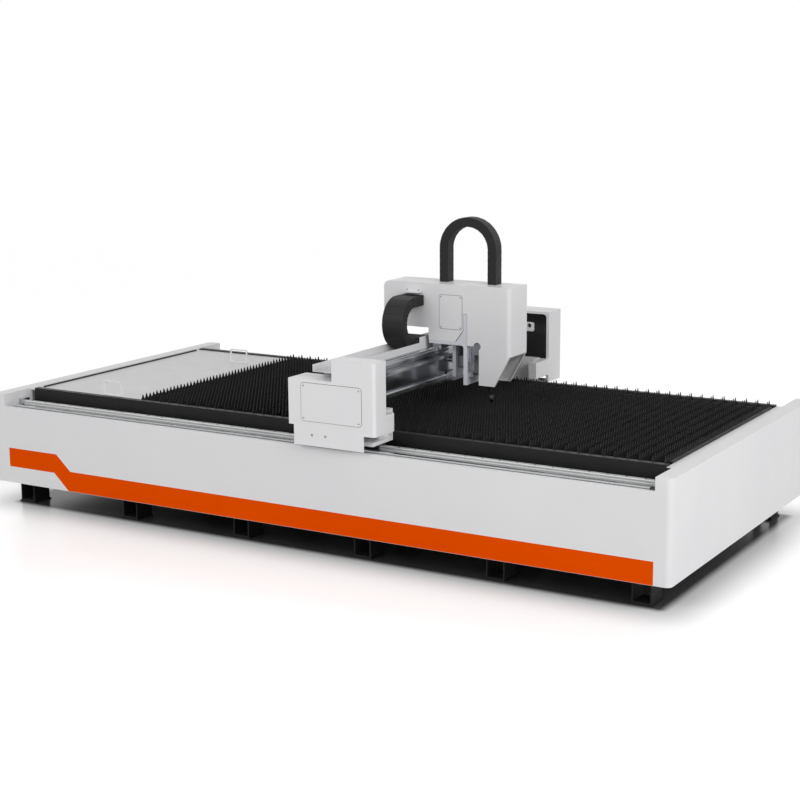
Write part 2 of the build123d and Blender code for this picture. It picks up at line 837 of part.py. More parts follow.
# Cable tray: folded channel along the top of the beam, with a raised tab for the chain's end
cable_tray_start = y_at(cable_tray_inset)
cable_tray_length = -2 * cable_tray_start
cable_tray_bottom = z_at(beam_top)
cable_tray_width = cable_tray_right - cable_tray_left
with BuildPart() as cable_tray:
    with Locations((x_at(centre(cable_tray_left, cable_tray_right)), 0, cable_tray_bottom)):
        Box(cable_tray_width, cable_tray_length, cable_tray_height,
            align=(Align.CENTER, Align.CENTER, Align.MIN))
    with Locations((x_at(centre(cable_tray_left, cable_tray_right)), 0, cable_tray_bottom + cable_tray_sheet)):
        Box(cable_tray_width - 2 * cable_tray_sheet, cable_tray_length, cable_tray_height,
            align=(Align.CENTER, Align.CENTER, Align.MIN), mode=Mode.SUBTRACT)
    with BuildSketch(Plane.YZ.offset(x_at(cable_tray_right) - cable_tray_sheet)) as tab_profile:
        with BuildLine() as tab_outline:
            Polyline(
                (y_at(tray_tab_start), cable_tray_bottom + cable_tray_height),
                (y_at(tray_tab_start + tray_tab_length), cable_tray_bottom + cable_tray_height),
                (y_at(tray_tab_start + tray_tab_length), cable_tray_bottom + cable_tray_height + tray_tab_rise),
                (y_at(tray_tab_start), cable_tray_bottom + cable_tray_height + tray_tab_rise),
                close=True,
            )
        make_face()
    extrude(amount=cable_tray_sheet)
cable_tray.part.label = "cable_tray"
export_step(cable_tray.part, "parts/cable_tray.step")

# Front gantry cover: folded sheet with a main box, a shoulder, a deeper foot and a skirt
cover_front = front - cover_overhang
tab_end = near_y + tab_overlap
inner_left = x_at(cover_left) + cover_sheet
foot_rim_left = x_at(skirt_right + foot_rim_inset)
inner_right = x_at(cover_right) - cover_sheet
with BuildPart() as front_cover:
    with BuildSketch(Plane.XZ.offset(-cover_front)) as cover_face:
        with BuildLine() as cover_outline:
            Polyline(
                (x_at(cover_left), z_at(cover_left_bottom)),
                (x_at(skirt_left), z_at(cover_left_bottom)),
                (x_at(skirt_right), z_at(cover_bottom)),
                (x_at(cover_right), z_at(cover_bottom)),
                (x_at(cover_right), z_at(cover_top)),
                (x_at(cover_main_left), z_at(cover_top)),
                (x_at(cover_main_left), z_at(shoulder_top)),
                (x_at(cover_left), z_at(shoulder_top)),
                close=True,
            )
        make_face()
    extrude(amount=-cover_upper_depth)
    fillet(front_cover.edges().filter_by(Axis.Z).group_by(Axis.Y)[0].sort_by(Axis.X)[-1], cover_radius)
    offset(amount=-cover_sheet, openings=[
        *front_cover.faces().filter_by(lambda face: face.normal_at().Z < -0.5),
        front_cover.faces().sort_by(Axis.Y)[-1],
    ])
    with BuildSketch(Plane.XZ.offset(-cover_front)) as skirt_face:
        with BuildLine() as skirt_outline:
            Polyline(
                (x_at(skirt_left), z_at(skirt_bottom)),
                (x_at(skirt_right), z_at(skirt_bottom)),
                (x_at(skirt_right), z_at(cover_low_top)),
                (x_at(skirt_left), z_at(cover_low_top)),
                close=True,
            )
        make_face()
    extrude(amount=-cover_sheet)
    rear_y = cover_front + cover_upper_depth
    with BuildSketch(Plane.XZ.offset(-rear_y)) as shoulder_rim:
        with BuildLine() as shoulder_line:
            Polyline(
                (x_at(cover_left), z_at(cover_left_bottom)),
                (inner_left, z_at(cover_left_bottom)),
                (inner_left, z_at(shoulder_top) - cover_sheet),
                (x_at(cover_main_left), z_at(shoulder_top) - cover_sheet),
                (x_at(cover_main_left), z_at(shoulder_top)),
                (x_at(cover_left), z_at(shoulder_top)),
                close=True,
            )
        make_face()
    extrude(amount=cover_upper_depth - shoulder_depth)
    with BuildSketch(Plane.XZ.offset(-rear_y)) as foot_rim:
        with BuildLine() as foot_line:
            Polyline(
                (inner_right, z_at(cover_bottom)),
                (x_at(cover_right), z_at(cover_bottom)),
                (x_at(cover_right), z_at(cover_low_top)),
                (foot_rim_left, z_at(cover_low_top)),
                (foot_rim_left, z_at(cover_low_top) - cover_sheet),
                (inner_right, z_at(cover_low_top) - cover_sheet),
                close=True,
            )
        make_face()
    extrude(amount=cover_upper_depth - cover_lower_depth)
    with Locations((saddle_x, centre(cover_front, tab_end), saddle_bottom + saddle_plate + tab_sheet / 2)):
        with GridLocations(tab_pitch, 1, 2, 1):
            Box(tab_width, tab_end - cover_front - cover_sheet, tab_sheet)
front_cover.part.label = "front_cover"
export_step(front_cover.part, "parts/front_cover.step")

# Access panel of the front cover, held by four screws
panel_left = 2408
panel_right = 2804
panel_bottom = 649
panel_upper = 865
access_sheet = 2
access_corner = 18
screw_head = 4
screw_head_height = 3
panel_screw_inset = 16
with BuildPart() as front_access_panel:
    with BuildSketch(Plane.XZ.offset(-cover_front)) as access_outline:
        with Locations((x_at(centre(panel_left, panel_right)), z_at(centre(panel_bottom, panel_upper)))):
            RectangleRounded(panel_right - panel_left, panel_upper - panel_bottom, access_corner)
    extrude(amount=access_sheet)
front_access_panel.part.label = "front_access_panel"
export_step(front_access_panel.part, "parts/front_access_panel.step")

# Rear gantry cover: deep box, open towards the table, with a folded rim and a low wing
back_outer = -cover_front
back_inner = back_outer - back_cover_depth
wing_inner = back_outer - back_wing_depth
with BuildPart() as back_cover:
    with BuildSketch(Plane.XZ.offset(-back_inner)) as back_face:
        with BuildLine() as back_outline:
            Polyline(
                (x_at(cover_left), z_at(back_cover_bottom)),
                (x_at(cover_right), z_at(back_cover_bottom)),
                (x_at(cover_right), z_at(cover_top)),
                (x_at(cover_left), z_at(cover_top)),
                close=True,
            )
        make_face()
    extrude(amount=-back_cover_depth)
    fillet(back_cover.edges().filter_by(Axis.Z).group_by(Axis.Y)[-1], cover_radius)
    offset(amount=-cover_sheet, openings=back_cover.faces().sort_by(Axis.Z)[0])
    with BuildSketch(Plane.XZ.offset(-back_inner)) as back_mouth:
        with Locations((x_at(centre(cover_left, cover_right)), z_at(cover_top) - back_cover_rim)):
            Rectangle(inner_right - inner_left - 2 * back_cover_rim, cover_top, align=(Align.CENTER, Align.MAX))
        fillet(back_mouth.vertices().group_by(Axis.Y)[-1], back_mouth_corner)
    extrude(amount=-cover_sheet, mode=Mode.SUBTRACT)
    with BuildSketch(Plane.XZ.offset(-wing_inner)) as wing_profile:
        with BuildLine() as wing_outline:
            Polyline(
                (inner_right, z_at(cover_bottom)),
                (x_at(cover_right), z_at(cover_bottom)),
                (x_at(cover_right), z_at(cover_low_top)),
                (foot_rim_left, z_at(cover_low_top)),
                (foot_rim_left, z_at(cover_low_top) - cover_sheet),
                (inner_right, z_at(cover_low_top) - cover_sheet),
                close=True,
            )
        make_face()
    extrude(amount=back_cover_depth - back_wing_depth)
    with Locations((centre(foot_rim_left, x_at(cover_right)), wing_inner + cover_sheet / 2,
                    z_at(centre(cover_bottom, cover_low_top)))):
        Box(x_at(cover_right) - foot_rim_left, cover_sheet, cover_low_top - cover_bottom)
    with Locations((saddle_x, -centre(cover_front, tab_end), saddle_bottom + saddle_plate + tab_sheet / 2)):
        with GridLocations(tab_pitch, 1, 2, 1):
            Box(tab_width, tab_end - cover_front - cover_sheet, tab_sheet)
back_cover.part.label = "back_cover"
export_step(back_cover.part, "parts/back_cover.step")

# Plates that close the ends of the beam, and the hose bracket on the rear one
end_plate = 10
beam_centre_z = z_at(centre(beam_bottom, beam_top))
with BuildPart() as beam_end_plates:
    with Locations((beam_mid, 0, beam_centre_z)):
        with GridLocations(1, -2 * beam_start + end_plate, 1, 2):
            Box(beam_right - beam_left, end_plate, beam_top - beam_bottom)
beam_end_plates.part.label = "beam_end_plates"
export_step(beam_end_plates.part, "parts/beam_end_plates.step")

hose_bracket_y = end_plate - beam_start
hose_bracket_right = 2778
hose_bracket_top = 935
hose_bracket_length = 138
hose_bracket_height = 60
hose_bracket_plate = 6
hose_x = 2745
hose_z = 912
hose_hole = 14
with BuildPart() as rear_hose_bracket:
    with BuildSketch(Plane.XZ.offset(-hose_bracket_y)) as hose_bracket_outline:
        with Locations((x_at(hose_bracket_right), z_at(hose_bracket_top))):
            Rectangle(hose_bracket_length, hose_bracket_height, align=(Align.MAX, Align.MAX))
        chamfer(hose_bracket_outline.vertices(), corner_cut)
        with Locations((x_at(hose_x), z_at(hose_z))):
            Circle(hose_hole, mode=Mode.SUBTRACT)
    extrude(amount=-hose_bracket_plate)
rear_hose_bracket.part.label = "rear_hose_bracket"
export_step(rear_hose_bracket.part, "parts/rear_hose_bracket.step")

# Screws of the access panel, with hexagon heads
panel_face = cover_front - access_sheet
with BuildPart() as cover_screws:
    with BuildSketch(Plane.XZ.offset(-panel_face)) as cover_screw_heads:
        with Locations((x_at(centre(panel_left, panel_right)), z_at(centre(panel_bottom, panel_upper)))):
            with GridLocations(panel_right - panel_left - 2 * panel_screw_inset,
                               panel_upper - panel_bottom - 2 * panel_screw_inset, 2, 2):
                RegularPolygon(screw_head, 6)
    extrude(amount=screw_head_height)
cover_screws.part.label = "cover_screws"
export_step(cover_screws.part, "parts/cover_screws.step")

# Cross carriage: welded angle with a web for the side rail and gussets in its corner
plate_front_y = y_at(plate_front)
plate_back_y = y_at(plate_back)
plate_depth = plate_back_y - plate_front_y
motor_x = x_at(centre(web_left + plate_thickness, leg_left))
cross_drive_y = y_at(y_drive_setback)
cross_drive_z = z_at(y_rack_bottom) - y_pinion_radius - pinion_gap
gusset_rise = 68
gusset_run = 50
gusset_plate = 10
motor_room = 4
inner_fillet = 16
with BuildPart() as carriage_plate:
    with BuildSketch(Plane.XZ.offset(-plate_front_y)) as angle_profile:
        with BuildLine() as angle_outline:
            Polyline(
                (x_at(carriage_left), z_at(plate_bottom)),
                (x_at(leg_left), z_at(plate_bottom)),
                (x_at(leg_left), z_at(leg_bottom)),
                (x_at(leg_right), z_at(leg_bottom)),
                (x_at(leg_right), z_at(leg_top)),
                (x_at(leg_left), z_at(leg_top)),
                (x_at(leg_left), z_at(plate_bottom + plate_thickness)),
                (x_at(carriage_left), z_at(plate_bottom + plate_thickness)),
                close=True,
            )
        make_face()
        corner = Vector(x_at(leg_left), z_at(plate_bottom))
        fillet(angle_profile.vertices().sort_by_distance(corner)[0], inner_fillet)
    extrude(amount=-plate_depth)
    with Locations((x_at(web_left + plate_thickness / 2), centre(y_at(web_front), plate_back_y),
                    z_at(centre(web_bottom, plate_bottom)))):
        Box(plate_thickness, plate_back_y - y_at(web_front), plate_bottom - web_bottom)
    for gusset_y in (plate_front_y, plate_back_y - gusset_plate):
        with BuildSketch(Plane.XZ.offset(-gusset_y)) as gusset_profile:
            with BuildLine() as gusset_outline:
                Polyline(
                    (x_at(leg_left), z_at(plate_bottom + plate_thickness)),
                    (x_at(leg_left), z_at(plate_bottom + plate_thickness + gusset_rise)),
                    (x_at(leg_left - gusset_run), z_at(plate_bottom + plate_thickness)),
                    close=True,
                )
            make_face()
        extrude(amount=-gusset_plate)
    with Locations((motor_x, cross_drive_y, z_at(plate_bottom))):
        Box(motor_size + 2 * motor_room, motor_size + 2 * motor_room, 4 * plate_thickness, mode=Mode.SUBTRACT)
    with BuildSketch(Plane.YZ.offset(x_at(web_left))) as shaft_passage:
        with Locations((cross_drive_y, cross_drive_z)):
            Circle(y_shaft + gearbox_room)
    extrude(amount=plate_thickness, mode=Mode.SUBTRACT)
carriage_plate.part.label = "carriage_plate"
export_step(carriage_plate.part, "parts/carriage_plate.step")

# Bearing blocks of the carriage on the top rail and on the side rail
with BuildPart() as top_block:
    with BuildSketch(Plane.XZ.offset(-top_block_length / 2)) as top_block_section:
        with BuildLine() as top_block_line:
            Polyline(*block_outline(top_block_width, beam_step, top_block_rise, top_rail_width, top_rail_height),
                     close=True)
        make_face()
    extrude(amount=top_block_length)
with BuildPart() as side_block:
    with BuildSketch(Plane.XZ.offset(-side_block_length / 2)) as side_block_section:
        with BuildLine() as side_block_line:
            side_points = block_outline(side_block_width, beam_step, side_block_rise, side_rail_height,
                                        side_rail_width)
            Polyline(*[(z, -x) for x, z in side_points], close=True)
        make_face()
    extrude(amount=side_block_length)
top_block_reach = block_inset + top_block_length / 2
side_block_reach = pinion_offset + side_block_length / 2
top_block_y = [plate_front_y + top_block_reach, plate_back_y - top_block_reach]
side_block_y = [y_at(web_front) + side_block_reach, plate_back_y - side_block_reach]
y_bearing_blocks = Compound(children=[
    *[top_block.part.solid().moved(Location((top_rail_x, y, top_rail_foot))) for y in top_block_y],
    *[side_block.part.solid().moved(Location((side_rail_foot, y, side_rail_z))) for y in side_block_y],
])
y_bearing_blocks.label = "y_bearing_blocks"
export_step(y_bearing_blocks, "parts/y_bearing_blocks.step")

# Cross drive: pinion on a horizontal shaft, angle gearbox on the web, upright servo motor
pinion_start = x_at(beam_right) + pinion_offset
gearbox_start = x_at(web_left + plate_thickness)
y_shaft_end = gearbox_start + shaft_reach
with BuildPart() as y_pinion:
    with BuildSketch(Plane.YZ.offset(pinion_start)) as y_pinion_profile:
        with BuildLine() as y_pinion_line:
            Polyline(
                *[(cross_drive_y + a, cross_drive_z + b)
                  for a, b in gear_outline(y_pinion_teeth, y_pinion_radius, y_pinion_root)],
                close=True,
            )
        make_face()
    extrude(amount=y_pinion_face)
    with BuildSketch(Plane.YZ.offset(pinion_start)) as y_shaft_profile:
        with Locations((cross_drive_y, cross_drive_z)):
            Circle(y_shaft)
    extrude(amount=y_shaft_end - pinion_start)
y_pinion.part.label = "y_pinion"
export_step(y_pinion.part, "parts/y_pinion.step")

with BuildPart() as y_gearbox:
    with Locations((gearbox_start + y_gearbox_length / 2, cross_drive_y, cross_drive_z)):
        Box(y_gearbox_length, gearbox_size, gearbox_size)
    chamfer(y_gearbox.edges().filter_by(Axis.X), corner_cut)
    with BuildSketch(Plane.YZ.offset(gearbox_start)) as y_bore:
        with Locations((cross_drive_y, cross_drive_z)):
            Circle(y_shaft + shaft_clearance)
    extrude(amount=y_shaft_end - gearbox_start + 1, mode=Mode.SUBTRACT)
y_gearbox.part.label = "y_gearbox"
export_step(y_gearbox.part, "parts/y_gearbox.step")

y_motor_bottom = cross_drive_z + gearbox_size / 2
with BuildPart() as y_servo_motor:
    with BuildSketch(Plane.XY.offset(y_motor_bottom)) as y_motor_body:
        with Locations((motor_x, cross_drive_y)):
            Rectangle(motor_size, motor_size)
        chamfer(y_motor_body.vertices(), corner_cut)
    extrude(amount=motor_height)
    with BuildSketch(Plane.XY.offset(y_motor_bottom + motor_height)) as y_encoder_cap:
        with Locations((motor_x, cross_drive_y)):
            Rectangle(motor_size - 2 * encoder_step, motor_size - 2 * encoder_step)
        chamfer(y_encoder_cap.vertices(), corner_cut)
    extrude(amount=encoder_height)
y_servo_motor.part.label = "y_servo_motor"
export_step(y_servo_motor.part, "parts/y_servo_motor.step")

# Head cover: folded housing, open below and along its slanted side
head_sheet = 3
head_radius = 28
head_top_radius = 35
return_flange = 14
head_face_y = y_at(head_front)
head_depth = head_back - head_front
slit_gap = 2
slit_left = leg_left - slit_gap
slit_right = leg_right + slit_gap
window_right = 2972
window_top = 955
window_notch = 24
cover_notch_x = x_at(carriage_left) - head_sheet
plate_top_z = z_at(plate_bottom + plate_thickness)
slant = Vector(head_right - head_slant_x, 0, head_slant_top - head_bottom).normalized()
flange_shift = Vector(-slant.Z, 0, slant.X) * head_sheet
with BuildPart() as head_cover:
    with BuildSketch(Plane.XZ.offset(-head_face_y)) as head_face:
        with BuildLine() as head_outline:
            Polyline(
                (x_at(head_left), z_at(head_left_bottom)),
                (cover_notch_x, z_at(head_left_bottom)),
                (cover_notch_x, plate_top_z),
                (x_at(slit_right), plate_top_z),
                (x_at(slit_right), z_at(head_bottom)),
                (x_at(head_slant_x), z_at(head_bottom)),
                (x_at(head_right), z_at(head_slant_top)),
                (x_at(head_right), z_at(head_top)),
                (x_at(head_left), z_at(head_top)),
                close=True,
            )
        make_face()
        fillet(head_face.vertices().group_by(Axis.Y)[-1].sort_by(Axis.X)[0], head_top_radius)
    extrude(amount=-head_depth)
    fillet(head_cover.edges().filter_by(Axis.Z).group_by(Axis.X)[-1].sort_by(Axis.Y)[0], head_radius)
    offset(amount=-head_sheet, openings=[
        *head_cover.faces().filter_by(lambda face: face.normal_at().Z < -0.1),
        *head_cover.faces().filter_by(lambda face: face.normal_at().X < -0.9).sort_by(Axis.X)[1:],
    ])
    for flange_y in (head_face_y, y_at(head_back) - return_flange):
        with BuildSketch(Plane.XZ.offset(-flange_y)) as flange_profile:
            with BuildLine() as flange_line:
                Polyline(
                    (x_at(window_right), z_at(head_bottom)),
                    (x_at(head_slant_x), z_at(head_bottom)),
                    (x_at(head_right), z_at(head_slant_top)),
                    (x_at(head_right) + flange_shift.X, z_at(head_slant_top) + flange_shift.Z),
                    (x_at(head_slant_x) + flange_shift.X, z_at(head_bottom) + head_sheet),
                    (x_at(window_right), z_at(head_bottom) + head_sheet),
                    close=True,
                )
            make_face()
        extrude(amount=-return_flange)
    with BuildSketch(Plane.XZ.offset(-head_face_y)) as head_cuts:
        with BuildLine() as leg_slit:
            Polyline(
                (x_at(slit_left), z_at(head_bottom)),
                (x_at(slit_right), z_at(head_bottom)),
                (x_at(slit_right), z_at(leg_top) + slit_gap),
                (x_at(slit_left), z_at(leg_top) + slit_gap),
                (x_at(slit_left), z_at(plate_bottom + plate_thickness + gusset_rise) + 2 * slit_gap),
                (x_at(slit_left - gusset_run) - 2 * slit_gap, z_at(plate_bottom + plate_thickness)),
                close=True,
            )
        make_face()
        with Locations((x_at(slit_right), z_at(head_bottom))):
            Rectangle(window_right - slit_right, window_top - head_bottom, align=(Align.MIN, Align.MIN))
        with Locations((x_at(window_right - window_notch / 2), z_at(window_top))):
            Circle(window_notch)
    extrude(amount=-head_sheet, mode=Mode.SUBTRACT)
head_cover.part.label = "head_cover"
export_step(head_cover.part, "parts/head_cover.step")

# Access panel and screws on the head cover
head_panel_left = 2706
head_panel_right = 2858
head_panel_bottom = 1048
head_panel_top = 1250
head_screw_inset = 10
with BuildPart() as head_access_panel:
    with BuildSketch(Plane.XZ.offset(-head_face_y)) as head_panel_outline:
        with Locations((x_at(centre(head_panel_left, head_panel_right)),
                        z_at(centre(head_panel_bottom, head_panel_top)))):
            RectangleRounded(head_panel_right - head_panel_left, head_panel_top - head_panel_bottom, head_screw_inset)
    extrude(amount=access_sheet)
head_access_panel.part.label = "head_access_panel"
export_step(head_access_panel.part, "parts/head_access_panel.step")

# Folded bracket over the end of the energy chain
chain_bracket_left = 2466
chain_bracket_right = 2582
chain_bracket_bottom = 1256
chain_bracket_depth = 44
bracket_sheet = 3
with BuildPart() as chain_bracket:
    with BuildSketch(Plane.YZ.offset(x_at(chain_bracket_left))) as chain_bracket_profile:
        with BuildLine() as chain_bracket_line:
            Polyline(
                (head_face_y, z_at(head_top)),
                (head_face_y - bracket_sheet, z_at(head_top)),
                (head_face_y - bracket_sheet, z_at(chain_bracket_bottom) + bracket_sheet),
                (head_face_y - chain_bracket_depth, z_at(chain_bracket_bottom) + bracket_sheet),
                (head_face_y - chain_bracket_depth, z_at(chain_bracket_bottom)),
                (head_face_y, z_at(chain_bracket_bottom)),
                close=True,
            )
        make_face()
    extrude(amount=chain_bracket_right - chain_bracket_left)
chain_bracket.part.label = "chain_bracket"
export_step(chain_bracket.part, "parts/chain_bracket.step")

bracket_screw_pitch = 80
bracket_screw_rise = 14
with BuildPart() as head_screws:
    with BuildSketch(Plane.XZ.offset(access_sheet - head_face_y)) as panel_screw_heads:
        with Locations((x_at(centre(head_panel_left, head_panel_right)),
                        z_at(centre(head_panel_bottom, head_panel_top)))):
            with GridLocations(head_panel_right - head_panel_left - 2 * head_screw_inset,
                               head_panel_top - head_panel_bottom - 2 * head_screw_inset, 2, 2):
                RegularPolygon(screw_head, 6)
    extrude(amount=screw_head_height)
    with BuildSketch(Plane.XZ.offset(bracket_sheet - head_face_y)) as bracket_screw_heads:
        with Locations((x_at(centre(chain_bracket_left, chain_bracket_right)),
                        z_at(chain_bracket_bottom + bracket_screw_rise))):
            with GridLocations(bracket_screw_pitch, 1, 2, 1):
                RegularPolygon(screw_head, 6)
    extrude(amount=screw_head_height)
head_screws.part.label = "head_screws"
export_step(head_screws.part, "parts/head_screws.step")

# Energy chain of the cross axis: a C of links from the tray round to the head
chain_height = chain_outer - chain_inner
chain_middle = centre(chain_inner, chain_outer)
chain_y = y_at(chain_bend_y)
chain_z = z_at(chain_bend_z)
chain_link = 52
chain_groove = 4
chain_groove_width = 5
bend_links = 7


def chain_grooves(radius, direction):
    """Angles at which a notch is cut between two links of a half turn, and the places of those notches."""
    step = 180 / bend_links
    angles = [direction + n * step for n in range(bend_links + 1)]
    return [(angle, Vector(radius, 0).rotate(Axis.Z, angle)) for angle in angles]


with BuildPart() as y_energy_chain:
    with BuildSketch(Plane.YZ.offset(x_at(chain_left))) as chain_profile:
        with BuildLine() as chain_line:
            Line((head_face_y, chain_z + chain_outer), (chain_y, chain_z + chain_outer))
            CenterArc((chain_y, chain_z), chain_outer, 90, 180)
            Line((chain_y, chain_z - chain_outer), (y_at(chain_tail), chain_z - chain_outer))
            Line((y_at(chain_tail), chain_z - chain_outer), (y_at(chain_tail), chain_z - chain_inner))
            Line((y_at(chain_tail), chain_z - chain_inner), (chain_y, chain_z - chain_inner))
            CenterArc((chain_y, chain_z), chain_inner, 90, 180)
            Line((chain_y, chain_z + chain_inner), (head_face_y, chain_z + chain_inner))
            Line((head_face_y, chain_z + chain_inner), (head_face_y, chain_z + chain_outer))
        make_face()
        for angle, place in chain_grooves(chain_outer, 90):
            with Locations(Location((chain_y + place.X, chain_z + place.Y), angle)):
                Rectangle(2 * chain_groove, chain_groove_width, mode=Mode.SUBTRACT)
        for distance in (chain_link, 2 * chain_link):
            with Locations((chain_y + distance, chain_z - chain_outer), (chain_y + distance, chain_z - chain_inner)):
                Rectangle(chain_groove_width, 2 * chain_groove, mode=Mode.SUBTRACT)
        with Locations((chain_y + chain_link, chain_z + chain_outer), (chain_y + chain_link, chain_z + chain_inner)):
            Rectangle(chain_groove_width, 2 * chain_groove, mode=Mode.SUBTRACT)
    extrude(amount=chain_right - chain_left)
y_energy_chain.part.label = "y_energy_chain"
export_step(y_energy_chain.part, "parts/y_energy_chain.step")

# Energy chain of the vertical axis: an arch that stands on the head cover
arch_radius = (arch_right - arch_left) / 2
arch_x = x_at(centre(arch_left, arch_right))
arch_z = z_at(arch_top) - arch_radius
arch_foot = z_at(head_top)
with BuildPart() as z_energy_chain:
    with BuildSketch(Plane.XZ.offset(-y_at(arch_front))) as arch_profile:
        with BuildLine() as arch_line:
            Line((arch_x - arch_radius, arch_foot), (arch_x - arch_radius, arch_z))
            CenterArc((arch_x, arch_z), arch_radius, 0, 180)
            Line((arch_x + arch_radius, arch_z), (arch_x + arch_radius, arch_foot))
            Line((arch_x + arch_radius, arch_foot), (arch_x + arch_radius - arch_leg, arch_foot))
            Line((arch_x + arch_radius - arch_leg, arch_foot), (arch_x + arch_radius - arch_leg, arch_z))
            CenterArc((arch_x, arch_z), arch_radius - arch_leg, 0, 180)
            Line((arch_x - arch_radius + arch_leg, arch_z), (arch_x - arch_radius + arch_leg, arch_foot))
            Line((arch_x - arch_radius + arch_leg, arch_foot), (arch_x - arch_radius, arch_foot))
        make_face()
        for angle, place in chain_grooves(arch_radius, 0):
            with Locations(Location((arch_x + place.X, arch_z + place.Y), angle)):
                Rectangle(2 * chain_groove, chain_groove_width, mode=Mode.SUBTRACT)
        for side in (-1, 1):
            for radius in (arch_radius, arch_radius - arch_leg):
                for drop in (chain_link, 2 * chain_link, 3 * chain_link):
                    with Locations((arch_x + side * radius, arch_z - drop)):
                        Rectangle(2 * chain_groove, chain_groove_width, mode=Mode.SUBTRACT)
    extrude(amount=-arch_depth)
z_energy_chain.part.label = "z_energy_chain"
export_step(z_energy_chain.part, "parts/z_energy_chain.step")

# Vertical guideways on the leg of the carriage
z_face = x_at(leg_right)
with BuildPart() as z_rails:
    with BuildSketch(Plane.XY.offset(z_at(z_rail_low))) as z_rail_section:
        for setback in z_rail_setbacks:
            with BuildLine() as z_rail_line:
                Polyline(
                    *[(z_face + z, y_at(setback) + x) for x, z in rail_outline(z_rail_width, z_rail_height)],
                    close=True,
                )
            make_face()
    extrude(amount=z_rail_high - z_rail_low)
z_rails.part.label = "z_rails"
export_step(z_rails.part, "parts/z_rails.step")

# Ball screw of the vertical axis with its bearings, and its motor on top of the leg
screw_x = z_face + screw_offset
screw_y = y_at(screw_setback)
screw_low = z_at(z_rail_low) + screw_inset
screw_top = z_at(leg_top) + screw_into_motor
bearing_plate = 20
bearing_size = 44
bearing_depth = 27
z_motor_size = 60
z_motor_height = 130
with BuildPart() as z_ball_screw:
    with Locations((screw_x, screw_y, screw_low)):
        Cylinder(screw_radius, screw_top - screw_low, align=(Align.CENTER, Align.CENTER, Align.MIN))
z_ball_screw.part.label = "z_ball_screw"
export_step(z_ball_screw.part, "parts/z_ball_screw.step")

with BuildPart() as z_screw_bearings:
    for bottom in (z_at(z_rail_low) + 2 * screw_inset, z_at(z_rail_high) - bearing_plate):
        with Locations((z_face + bearing_depth / 2, screw_y, bottom)):
            Box(bearing_depth, bearing_size, bearing_plate, align=(Align.CENTER, Align.CENTER, Align.MIN))
    with Locations((screw_x, screw_y, screw_low)):
        Cylinder(screw_radius + shaft_clearance, screw_top - screw_low,
                 align=(Align.CENTER, Align.CENTER, Align.MIN), mode=Mode.SUBTRACT)
z_screw_bearings.part.label = "z_screw_bearings"
export_step(z_screw_bearings.part, "parts/z_screw_bearings.step")

with BuildPart() as z_servo_motor:
    with BuildSketch(Plane.XY.offset(z_at(leg_top))) as z_motor_body:
        with Locations((screw_x, screw_y)):
            Rectangle(z_motor_size, z_motor_size)
        chamfer(z_motor_body.vertices(), corner_cut)
    extrude(amount=z_motor_height)
    with Locations((screw_x, screw_y, z_at(leg_top))):
        Cylinder(screw_radius + shaft_clearance, screw_top - z_at(leg_top) + 1,
                 align=(Align.CENTER, Align.CENTER, Align.MIN), mode=Mode.SUBTRACT)
z_servo_motor.part.label = "z_servo_motor"
export_step(z_servo_motor.part, "parts/z_servo_motor.step")

# Vertical slide: bearing blocks, slide plate and the nut on the ball screw
z_block_low = 6
with BuildPart() as z_block:
    with BuildSketch(Plane.XY.offset(-z_block_length / 2)) as z_block_section:
        with BuildLine() as z_block_line:
            z_block_points = block_outline(z_block_width, z_block_low, z_block_rise, z_rail_width, z_rail_height)
            Polyline(*[(z, x) for x, z in z_block_points], close=True)
        make_face()
    extrude(amount=z_block_length)
z_block_places = [Location((z_face, y_at(setback), z_at(height))) for setback in z_rail_setbacks
                  for height in z_block_heights]
z_bearing_blocks = Compound(children=[z_block.part.solid().moved(place) for place in z_block_places])
z_bearing_blocks.label = "z_bearing_blocks"
export_step(z_bearing_blocks, "parts/z_bearing_blocks.step")

slide_start = z_face + z_block_rise
slide_end = slide_start + z_plate_thickness
slide_width = 196
with BuildPart() as z_slide_plate:
    with Locations((centre(slide_start, slide_end), y_at(centre(*z_rail_setbacks)),
                    z_at(centre(z_plate_low, z_plate_high)))):
        Box(z_plate_thickness, slide_width, z_plate_high - z_plate_low)
    chamfer(z_slide_plate.edges().filter_by(Axis.X), corner_cut)
z_slide_plate.part.label = "z_slide_plate"
export_step(z_slide_plate.part, "parts/z_slide_plate.step")

nut_height = 40
nut_start = z_face + 3
with BuildPart() as z_screw_nut:
    with Locations((centre(nut_start, slide_start), screw_y, z_at(centre(z_plate_low, z_plate_high)))):
        Box(slide_start - nut_start, nut_height, nut_height)
    with Locations((screw_x, screw_y, screw_low)):
        Cylinder(screw_radius + shaft_clearance, screw_top - screw_low,
                 align=(Align.CENTER, Align.CENTER, Align.MIN), mode=Mode.SUBTRACT)
z_screw_nut.part.label = "z_screw_nut"
export_step(z_screw_nut.part, "parts/z_screw_nut.step")

# Cutting head: bracket, focusing body, lens drawer, and the turned pieces above and below it
head_x = x_at(nozzle_x)
head_y = y_at(nozzle_y)
body_bottom = z_at(head_body_low)
body_top = z_at(head_body_high)
bracket_start = z_at(head_bracket_low)
bracket_end = z_at(head_bracket_high)
with BuildPart() as head_bracket:
    with Locations((centre(slide_end, head_x - body_width / 2), head_y, centre(bracket_start, bracket_end))):
        Box(head_x - body_width / 2 - slide_end, body_depth, bracket_end - bracket_start)
head_bracket.part.label = "head_bracket"
export_step(head_bracket.part, "parts/head_bracket.step")

